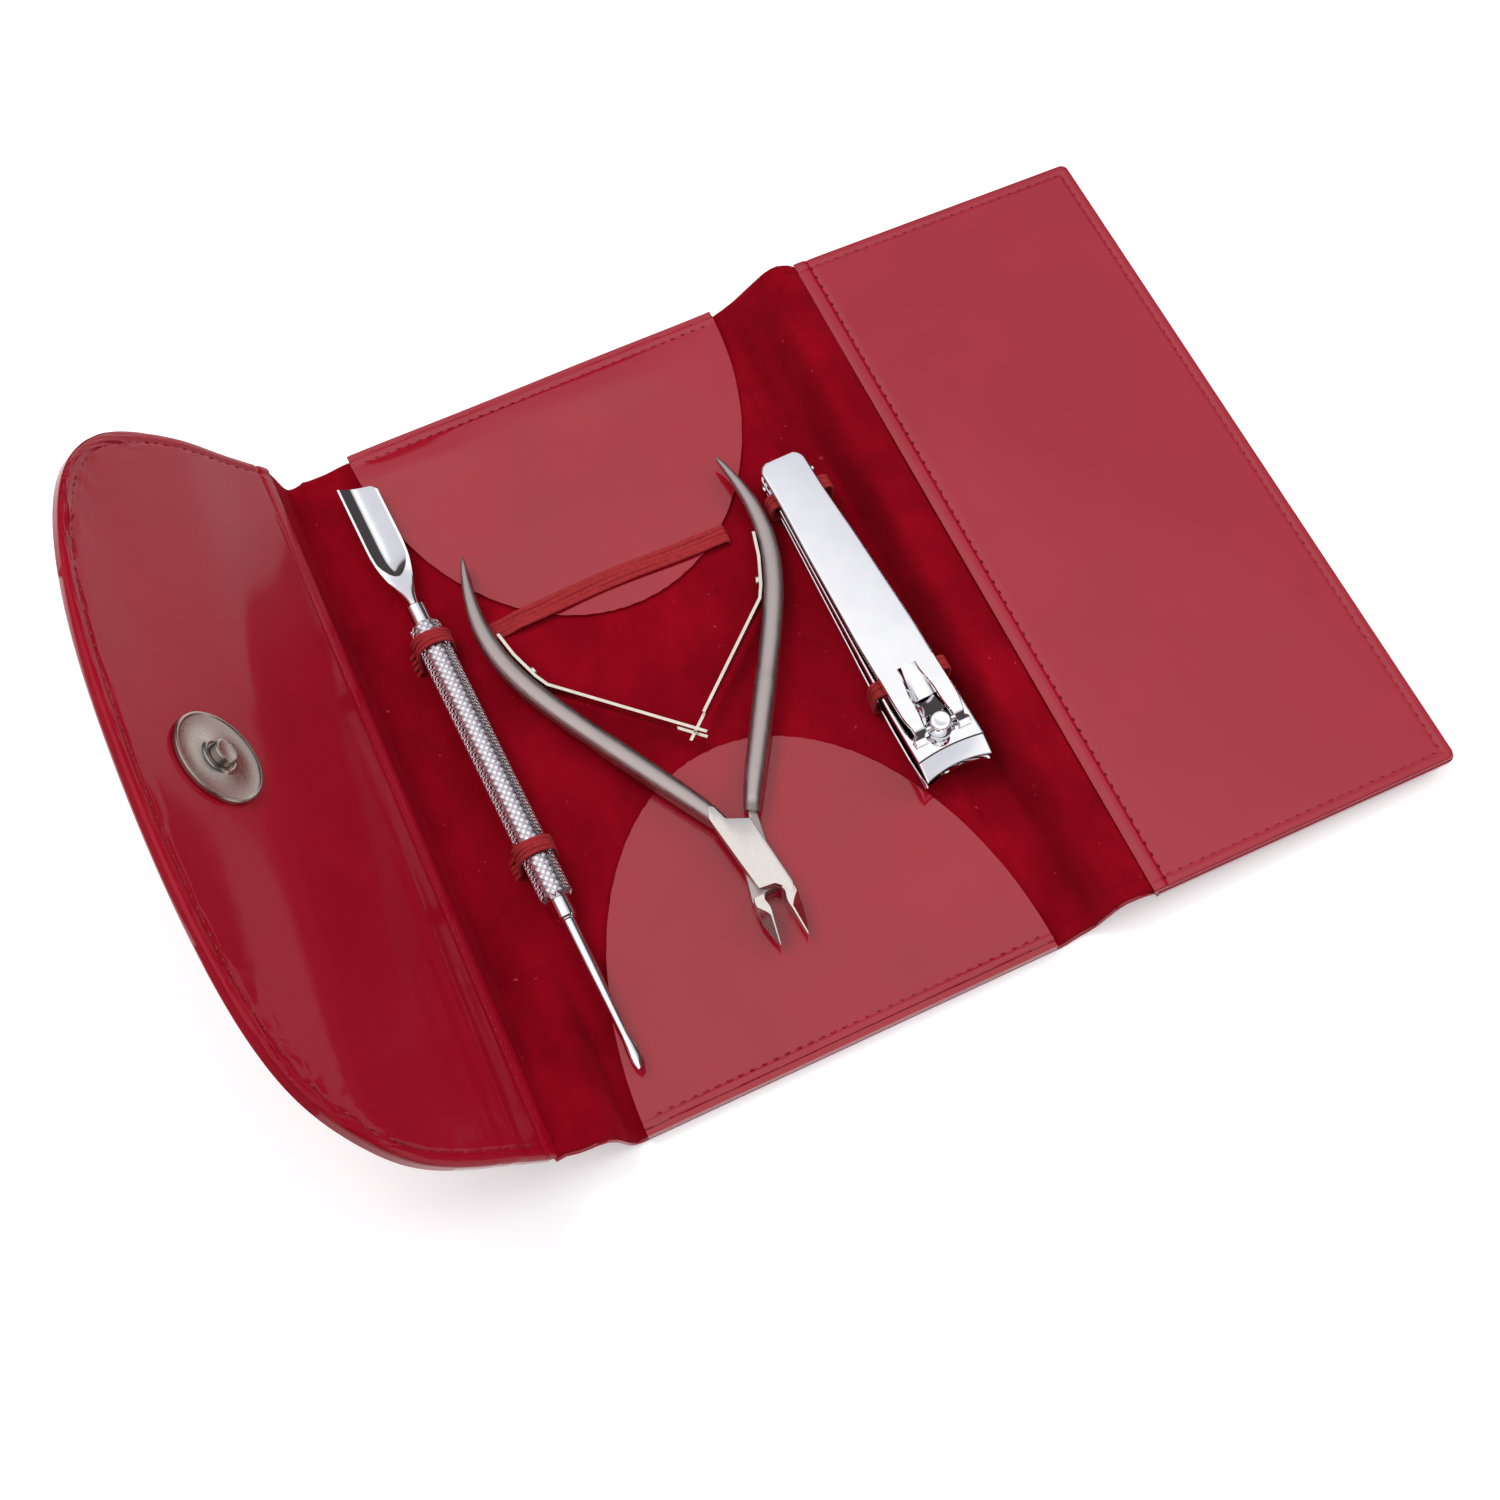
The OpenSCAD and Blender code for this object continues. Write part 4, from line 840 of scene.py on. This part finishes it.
def ferrule(low, high, radius):
    """A turned collar with 0.3 mm chamfers."""
    rows = [(radius - 0.3, low), (radius, low + 0.3), (radius, (low + high) / 2), (radius, high - 0.3),
            (radius - 0.3, high)]
    return round_bar(rows, on_pusher, 48)


def scoop():
    """Blade of sections across it: the underside is half an ellipse, and the upper side is a rim
    0.4 mm wide round a hollow 1.4 mm deep, a hyperbola whose closed end is half round and whose
    left wall is the steeper one. The tip is cut on a slant and rounded at one corner."""
    start, length = 36.8, 29.9
    t = np.linspace(0, 1, 170)[:, None]
    half = eased(t, [(0, 1.15), (0.06, 1.2), (0.15, 1.75), (0.27, 2.75), (0.38, 3.5), (0.5, 3.78),
                     (1, 3.74)], 0.04, 9)
    low = 1.15 + 1.3 * smooth(t / 0.45)
    top = 1.15 * (1 - smooth(t / 0.34))
    inner = (half - 0.42) * np.sqrt(np.clip(1 - (np.clip(0.44 - t, 0, 1) / 0.17) ** 2, 0, 1))
    guide = np.maximum(inner, 0.6 * half)
    rim = (half - guide) * np.linspace(0, 1, 6)
    side = np.concatenate([rim[:, :-1] - half, guide * np.linspace(-1, 1, 51), guide + rim[:, 1:]], 1)
    crown = top * np.sqrt(np.clip(1 - (side / half) ** 2, 0, 1))
    place = np.clip(side / np.maximum(inner, 1e-3), -1, 1) + 0.25
    share = np.where(place > 0, place / 1.25, -place / 0.75)
    deep = 1.4 * (1 - (np.sqrt(share ** 2 + 0.06) - 0.245) / 0.785) * (inner / 3.3)
    turn = np.linspace(pi, 2 * pi, 34)[1:-1]
    x = np.concatenate([side[:, ::-1], half * np.cos(turn)], 1)
    z = np.concatenate([(crown - deep)[:, ::-1], low * np.sin(turn)], 1)
    late = smooth((t - 0.6) / 0.4)
    tip = 0.8 - 0.42 * np.minimum(z, 0) - 0.34 * x - 0.9 * smooth((x - 2.2) / 1.6) ** 2
    return tube(on_pusher(x, z, start + t * length + tip * late))


def spade():
    """Shank that tapers from 1.35 to 0.85 mm and flattens to a pointed spade, slanting at its tip."""
    rows = np.array([[0, 1.35, 1.35], [0.3, 1.25, 1.25], [0.7, 0.9, 0.9], [0.8, 0.85, 0.8],
                     [0.87, 1.15, 0.62], [0.93, 1.2, 0.42], [0.97, 0.95, 0.3], [1, 0.35, 0.12]])
    t = np.linspace(0, 1, 60)[:, None]
    wide, high = eased(t, rows[:, :2], 0.02, 3), eased(t, rows[:, ::2], 0.02, 3)
    turn = np.linspace(0, 2 * pi, 32, endpoint=False)
    side = wide * np.cos(turn)
    crest = high * np.sin(turn) + 0.25 * smooth((t - 0.8) / 0.1) * (1 - np.abs(np.cos(turn))) * (t < 0.99)
    return tube(on_pusher(side, crest, -35.2 - 31.1 * t + 0.5 * side * t))


piece("pusher_handle", [knurled_handle()], dull_chrome, "pusher", crease=20)
piece("pusher_spoon", [ferrule(31.0, 36.9, 2.15), scoop()], chrome, "pusher", crease=32)
pick = [ferrule(-35.3, -31.0, 2.0), ferrule(-35.7, -35.2, 1.7), spade()]
piece("pusher_pick", pick, chrome, "pusher", crease=32)


# Nipper: two forged stainless halves lapped at a pivot, handles satin finished, the joint's face
# and blades ground. Each half is the other turned over. Two leaf springs hook together between.
satin = metal("satin stainless steel", "#b6aaa6", "#c0b5b1", 0.42, (1, 0.2, 1), 1200, 0.002)
ground = metal("ground stainless steel", "#d2cbc5", "#dad4ce", 0.22, (0.3, 1, 1), 3000, 0.003)
spring = metal("tempered spring steel", "#cfc8bc", "#e2dccf", 0.22, (0.3, 0.3, 1), 1400, 0.01)


def on_nipper(points, half):
    """Points of a nipper half about its pivot, turned over for the right one, in the case's frame."""
    lean, pivot = radians(-0.98), np.array([-2.2, -39.5, 6.3])
    x, y, z = points[..., 0] * half, points[..., 1], points[..., 2] * half
    return pivot + np.stack([x * cos(lean) - y * sin(lean), x * sin(lean) + y * cos(lean), z], -1)


# The handle's line and its section's two half widths
HANDLE = [[3.1, 9.0, 1.5, 2.3], [3.9, 10.6, 1.8, 2.4], [4.7, 12.3, 2.0, 2.5], [7.2, 16.6, 2.1, 2.5],
          [10.4, 22, 2.15, 2.45], [14, 28.2, 2.2, 2.3], [17.6, 34.4, 2.2, 2.15], [22.2, 42.4, 2.2, 2.1],
          [26.4, 50.8, 2.2, 2], [28.9, 58, 2.1, 1.8], [30, 65, 1.9, 1.6], [29.8, 71.5, 1.5, 1.4],
          [28.8, 77.5, 1.05, 1.1], [27.5, 82.5, 0.45, 0.6]]


def nipper_handle(half):
    """Rounded bar along the handle's bowed line: its section is a superellipse whose width and
    height follow the table, it ends in a chamfer at the joint, and it steps down by 0.12 mm where
    the grip is soldered on."""
    line = rounded(rounded(HANDLE, 4.0, 0.6), 2.5, 0.9)
    step = smooth((line[:, 1] - 32.6) / 0.9)
    way = np.gradient(line[:, :2], axis=0)
    way /= np.linalg.norm(way, axis=1)[:, None]
    a, b = rim_points(1, 1, 2.5, 40)
    tip = np.sqrt(np.clip((82.6 - line[:, 1]) / 1.4, 0.02, 1))
    chamfer = 0.45 + 0.55 * np.clip((line[:, 1] - 9) / 1.5, 0, 1)
    wide, high = (line[:, 2] - 0.12 * step) * tip, (line[:, 3] - 0.1 * step) * tip * chamfer
    x = -(line[:, :1] + way[:, 1:] * wide[:, None] * a)
    y = line[:, 1:2] - way[:, :1] * wide[:, None] * a
    return tube(on_nipper(np.stack([x, y, high[:, None] * b + 0 * x], -1), half))


def slab(outline, half):
    """Flat plate with a rounded outline: rings at six heights, the outer ones drawn in by the bevel
    along the outline's own normals."""
    low, high, bevel = 0.03, 2.7, 0.22
    loop = np.array(outline + outline[:2], float)
    line = rounded(loop, 0.35, 0.22)
    first = np.linalg.norm(line - (loop[0] + loop[1]) / 2, axis=1)
    line = line[first[:len(line) // 3].argmin():]
    after = np.linalg.norm(line - line[0], axis=1)
    line = line[:len(line) // 2 + after[len(line) // 2:].argmin()]
    way = np.roll(line, -1, 0) - np.roll(line, 1, 0)
    way /= np.linalg.norm(way, axis=1)[:, None]
    area = (line[:, 0] * np.roll(line[:, 1], -1) - line[:, 1] * np.roll(line[:, 0], -1)).sum()
    inward = np.stack([-way[:, 1], way[:, 0]], -1) * np.sign(area)
    rings = [(bevel, low), (bevel * 0.3, low + bevel * 0.3), (0, low + bevel), (0, high - bevel),
             (bevel * 0.3, high - bevel * 0.3), (bevel, high)]
    rings = [np.insert(line + draw * inward, 2, z, 1) for draw, z in rings]
    return tube(on_nipper(np.stack(rings), half))


def blade(half):
    """Jaw along its cutting edge, from the throat to the tip: seven-sided sections with a thin land
    beside the edge and a ground flank that falls away outwards."""
    t = np.linspace(0, 1, 36)
    line = [[1.7, -7.6], [2.1, -8.6], [1.75, -9.6], [1.65, -10.6], [1.9, -12.0], [2.62, -17.3]]
    line = rounded(line, 0.5)
    edge = taken(line, t * lengths(line)[-1])
    wide = np.interp(t, [0, 0.12, 0.25, 0.45, 0.75, 1], [2.2, 2.1, 2.5, 2.25, 1.25, 0.12])
    land = np.minimum(np.interp(t, [0, 0.2, 0.42, 1], [2.2, 2.1, 0.36, 0.26]), wide * 0.92)
    top = np.interp(t, [0, 0.2, 0.45, 1], [2.62, 2.6, 2.3, 0.9])
    fall = np.minimum((wide - land) * 1.15, top - 0.1)
    x = np.stack([0 * t, 0 * t + 0.04, land, wide, wide, land, 0 * t + 0.04], -1) + edge[:, :1]
    z = np.stack([0 * t, top - 0.05, top, top - fall, fall - top, -top, 0.05 - top], -1)
    y = edge[:, 1:] + 0 * x
    return tube(on_nipper(np.stack([x, y, z], -1), half))


# Outlines of the joint's face and of the half that lies under it
PLATE = [[-5.2, 10.2], [-4.3, 12.5], [-3.4, 12.1], [-2.25, 8.9], [2, 7.1], [4.1, -7.4], [3.6, -9.6],
         [2.85, -9.3], [2.2, -7.8], [0.9, -6.5], [-2.2, -6.3]]
LAP = [[-3.9, 8.3], [-3.3, 9.9], [-2.5, 9.5], [-2.0, 8.0], [1.4, 6.6]] + PLATE[5:]
for name, half, body, outline, face in (("nipper_left_half", 1, "nipper", PLATE, ground),
                                        ("nipper_right_half", -1, "nipper_moving_half", LAP, satin)):
    piece(name + "_handle", [nipper_handle(half)], satin, body, stands_for=name, crease=50)
    piece(name + "_plate", [slab(outline, half)], face, body, crease=24)
    piece(name + "_blade", [blade(half)], ground, body, crease=24)
dress(ground, "nipper_pivot")
dress(spring, "nipper_spring_left", "nipper_spring_right", "spring_screw_left", "spring_screw_right")


# Clipper: two pressed steel arms joined by a pin at the tail, and a lever that tips them together
# about a turning pin. All of it is pressed, ground and chrome plated.
def on_clipper(u, v, w):
    """Points along the clipper from its tail, across it and above its lower arm's underside."""
    slant, tail_y, underside = 0.0282, 34.8, 3.65
    lean = np.arctan(slant)
    u, v, w = np.broadcast_arrays(u, v, w)
    return np.stack([38.47 - slant * tail_y + u * sin(lean) + v * cos(lean),
                     tail_y - u * cos(lean) + v * sin(lean), underside + w], -1)


# The upper arm and the lever rise towards the jaws. The turning pin stands PIN_U from the tail, and
# the lever's cross bar lies AXIS_W above the lower arm's underside.
RISE, ARM_LEN, PIN_U = radians(3.4), 75.3, 66.9
SLOPE = tan(RISE)
AXIS_W = 5.5 + PIN_U * SLOPE


def half_width(u):
    """Half the arms' width: rounded over 2 mm at the tail, then widening to the jaws."""
    return 4.9 + 2 * np.clip((u - 10) / (ARM_LEN - 25), 0, 1) - rolled(u, 2)


def arm(upper, lower):
    """Arm between two side lines, each u and height, with rounded long edges and its jaw bitten
    out along a circle of 20 mm radius."""
    upper, lower = np.array(upper), np.array(lower)
    u = np.concatenate([np.linspace(0, 2, 9), np.linspace(2, 66, 50), np.linspace(66, ARM_LEN, 32)])
    u = np.unique(np.concatenate([u, upper[:, 0], lower[:, 0]]))[:, None]
    v = (2 * closer(10, (0, 0.05, 0.12, 0.22, 0.34, 0.5), 0.12) - 1)[None, :]
    half = half_width(u)
    bite = 1.2 - (20 - np.sqrt(400 - (half * v) ** 2))
    pulled = u - bite * smooth((u - 64) / (ARM_LEN - 64)) ** 2
    edge = half * (1 - np.abs(v))
    top = np.interp(u, *upper.T) - rolled(edge, 0.3)
    low = np.minimum(np.interp(u, *lower.T) + rolled(edge, 0.3), top - 0.06)
    return sheet(on_clipper(pulled, half * v, top), on_clipper(pulled, half * v, low))


lower_top = [(0, 1.6), (68.3, 1.6), (72.7, 2.4), (74.7, 3.1), (75.3, 3.1)]
lower_low = [(0, 0), (69.3, 0), (71.5, 0.15), (74.5, 0.9), (75.3, 2.8)]
upper_top = [(0, 3.2), (71.4, 3.2 + 71.4 * SLOPE), (71.68, 7.14), (75.2, 5.5), (75.3, 5.4)]
upper_low = [(0, 1.7), (69.3, 1.7 + 69.3 * SLOPE), (73.9, 5.8), (74.8, 5.25), (75.3, 5.25)]
piece("clipper_lower_arm", [arm(lower_top, lower_low)], chrome, "clipper", crease=30)
piece("clipper_upper_arm", [arm(upper_top, upper_low)], chrome, "clipper_upper", crease=30)


tail = [(0.55, -5.3), (0.75, -5.15), (0.8, -4.9), (0.8, 5.9), (0.75, 6.15), (0.55, 6.3)]
rivet = round_bar(tail, lambda a, b, c: on_clipper(3 + a, c, 1.8 + b))
piece("clipper_tail_pin", [rivet], chrome, "clipper", crease=30)
post = [(1.9, -0.8), (2.45, -0.75), (2.75, -0.5), (2.8, -0.12), (1.8, -0.1)]
head = [(1.8, -2.2), (2.3, -2.15), (2.35, -1.75), (2.1, -1.5), (1.35, -1.1), (1.25, -0.5), (1.25, 0.3),
        (1.35, 0.75), (1.8, 1.0), (2.02, 1.2), (2.05, 1.45), (1.95, 1.7), (1.7, 1.87), (1.3, 1.9),
        (1.2, 1.86)]
post += [(radius, AXIS_W + high) for radius, high in head]
piece("clipper_pin", [round_bar(post, lambda a, b, c: on_clipper(PIN_U + a, b, c))], chrome,
      "clipper_turning_pin", crease=30)


def on_lever(back_by, v, w):
    """Points on the lever: back from the cross bar towards the tail, across and above its middle."""
    return on_clipper(PIN_U - back_by * cos(RISE) - w * sin(RISE), v,
                      AXIS_W - back_by * sin(RISE) + w * cos(RISE))


LEVER_LEN, WINDOW = 67.35, 13.6


def lever_half(back_by):
    """Half the lever's width, from its cross bar back to its rounded tail."""
    table = [(-1.6, 4.9), (0, 5.1), (1.5, 5.5), (3.5, 5.95), (7, 6.0), (13, 6.0), (22, 6.05), (45, 5.4),
             (57, 4.85), (63, 4.8)]
    return eased(back_by, table, 1, 5) - rolled(LEVER_LEN - back_by, 2.6)


def lever_plate():
    """The lever's long plate, 1 mm thick with rolled edges, from the window's end to its tail. Its
    face is crowned by 0.05 mm."""
    back_by = np.unique(np.concatenate([np.linspace(WINDOW, 60, 40), np.linspace(60, 67.3, 24)]))[:, None]
    v = (2 * closer(11, (0, 0.05, 0.12, 0.25, 0.4, 0.6), 0.33) - 1)[None, :]
    half = lever_half(back_by)
    edge = np.minimum(half * (1 - np.abs(v)), LEVER_LEN - back_by)
    top = 0.5 - rolled(edge, 0.42) + 0.048 * (1 - v ** 2) * smooth((back_by - WINDOW) / 10)
    return sheet(on_lever(back_by, half * v, top), on_lever(back_by, half * v, rolled(edge, 0.3) - 0.5))


def lever_leg(side):
    """One leg beside the window: flat as far as the pin, then bent down at 45 degrees to a short
    flat foot that flares outwards. Its inner edge bows round the pin."""
    path = [(WINDOW, 0), (1.3, 0), (0.85, -0.12), (-0.55, -1.55), (-0.85, -1.7), (-1.7, -1.72)]
    path = rounded(path, 0.25, 0.16)
    ahead = np.gradient(path, axis=0)
    ahead /= np.linalg.norm(ahead, axis=1)[:, None]
    back_by, high = path[:, :1], path[:, 1:]
    flare = smooth((smooth(-high / 1.6) - 0.5) / 0.5)
    outer = lever_half(np.maximum(back_by, -1)) + 0.9 * flare
    inner = 1.75 + 0.75 * smooth((12.6 - back_by) / 6) + bell(back_by - 0.6, 2.2, 0.5) + 0.6 * flare
    v = inner + (outer - inner) * np.linspace(0, 1, 17)
    thick = 0.45 - rolled(np.minimum(outer - v, v - inner), 0.24)
    off_back, off_high = ahead[:, 1:] * thick, -ahead[:, :1] * thick
    return sheet(on_lever(back_by + off_back, side * v, high + off_high),
                 on_lever(back_by - off_back, side * v, high - off_high))


def lever_tongue():
    """The tongue punched out of the window: it slopes down towards the pin and is curved across,
    narrow where it leaves the plate, with a gap on its left."""
    down, share = np.linspace(0, 1, 30)[:, None], np.linspace(-1, 1, 25)
    back_by, v = WINDOW + 0.3 - 7.2 * down, 0.4 + 0.05 * down + (1.35 + 1.1 * down) * share
    bend = 0.3 * share ** 2 + 1.3 * np.clip(-0.5 - share, 0, 1)
    top = 0.46 - 0.2 * down - 1.2 * smooth(down) ** 1.3 - bend * (0.3 + 0.7 * down)
    return sheet(on_lever(back_by, v, top), on_lever(back_by, v, top - 0.5))


def lever_saddle():
    """The window's lower end, bent up from under the tongue to the cross bar: a trough that faces
    the tail and hollows across by 0.5 mm."""
    rise, share = np.linspace(0, 1, 20)[:, None], np.linspace(-1, 1, 21)
    back_by, v = 6.6 - 4.2 * rise, (2.15 + 0.3 * rise) * share
    top = -1.45 + 1.75 * rise ** 1.2 - 0.5 * (1 - share ** 2)
    return sheet(on_lever(back_by, v, top), on_lever(back_by, v, top - 0.35))


bar = [(0.4, -3.2), (0.55, -3.0), (0.55, 3.0), (0.4, 3.2)]
parts = [lever_plate(), lever_leg(-1), lever_leg(1), lever_tongue(), lever_saddle(),
         round_bar(bar, lambda a, b, c: on_lever(a, c, b))]
piece("clipper_lever", parts, chrome, "clipper_lever", crease=30)


# Table and light: a plain white table, and a room whose ceiling is one broad white light. The walls
# are darker, most on the right, which gives the steel its dark edges. The camera itself sees white.
floor = bpy.data.meshes.new("floor")
corners = [(-3, -3, -0.0001), (3, -3, -0.0001), (3, 3, -0.0001), (-3, 3, -0.0001)]
floor.from_pydata(corners, [], [(0, 1, 2, 3)])
paper, tree, shader = finish("white paper table", base_color=linear("#f0f0f0"), roughness=0.9,
                             specular_ior_level=0.1)
output = tree.nodes["Material Output"]
path = node(tree, "ShaderNodeLightPath")
plain = node(tree, "ShaderNodeEmission", {"Color": linear("#ffffff"), "Strength": 0.3})
seen = path.outputs["Is Camera Ray"]
for ray in ("Is Glossy Ray", "Is Transmission Ray"):
    seen = node(tree, "ShaderNodeMath", {0: seen, 1: path.outputs[ray]}, operation="MAXIMUM").outputs[0]
lit = node(tree, "ShaderNodeMixShader", {0: seen})
both = node(tree, "ShaderNodeAddShader", {0: shader.outputs[0], 1: plain.outputs[0]})
tree.links.new(shader.outputs[0], lit.inputs[1])
tree.links.new(both.outputs[0], lit.inputs[2])
tree.links.new(lit.outputs[0], output.inputs["Surface"])
floor.materials.append(paper)
table = bpy.data.objects.new("floor", floor)
scene.collection.objects.link(table)

room = bpy.data.worlds.new("room")
scene.world = room
room.use_nodes = True
tree = room.node_tree
way = node(tree, "ShaderNodeTexCoord").outputs["Generated"]
way = node(tree, "ShaderNodeSeparateXYZ", {0: way}).outputs
tilt = node(tree, "ShaderNodeMath", {0: way["X"], 1: -0.12, 2: way["Z"]}, operation="MULTIPLY_ADD")
wall = node(tree, "ShaderNodeValToRGB", {"Fac": tilt.outputs[0]},
            [(0.3, linear("#423d3e")), (0.86, linear("#ffffff")), (0.48, linear("#4b4548")),
             (0.56, linear("#c4c2c7")), (0.76, linear("#d4d4dd"))])
path = node(tree, "ShaderNodeLightPath")
light = tree.nodes["Background"]
light.inputs["Strength"].default_value = 1.2
tree.links.new(wall.outputs["Color"], light.inputs["Color"])
white = node(tree, "ShaderNodeBackground", {"Color": linear("#ffffff"), "Strength": 1})
lit = node(tree, "ShaderNodeMixShader", {0: path.outputs["Is Camera Ray"], 1: light.outputs[0],
                                         2: white.outputs[0]})
tree.links.new(lit.outputs[0], tree.nodes["World Output"].inputs["Surface"])
for name, size, energy, place, tip, turn in (("soft box", 0.35, 2.2, (-0.25, 0.35, 0.75), -28, -18),
                                             ("side light", 0.4, 1.6, (0.6, -0.05, 0.45), 0, 55)):
    lamp = bpy.data.objects.new(name, bpy.data.lights.new(name, "AREA"))
    lamp.data.shape, lamp.data.size, lamp.data.energy = "DISK", size, energy
    lamp.matrix_world = (Matrix.Translation(place) @ Matrix.Rotation(radians(tip), 4, "X")
                         @ Matrix.Rotation(radians(turn), 4, "Y"))
    lamp.visible_glossy = False
    scene.collection.objects.link(lamp)
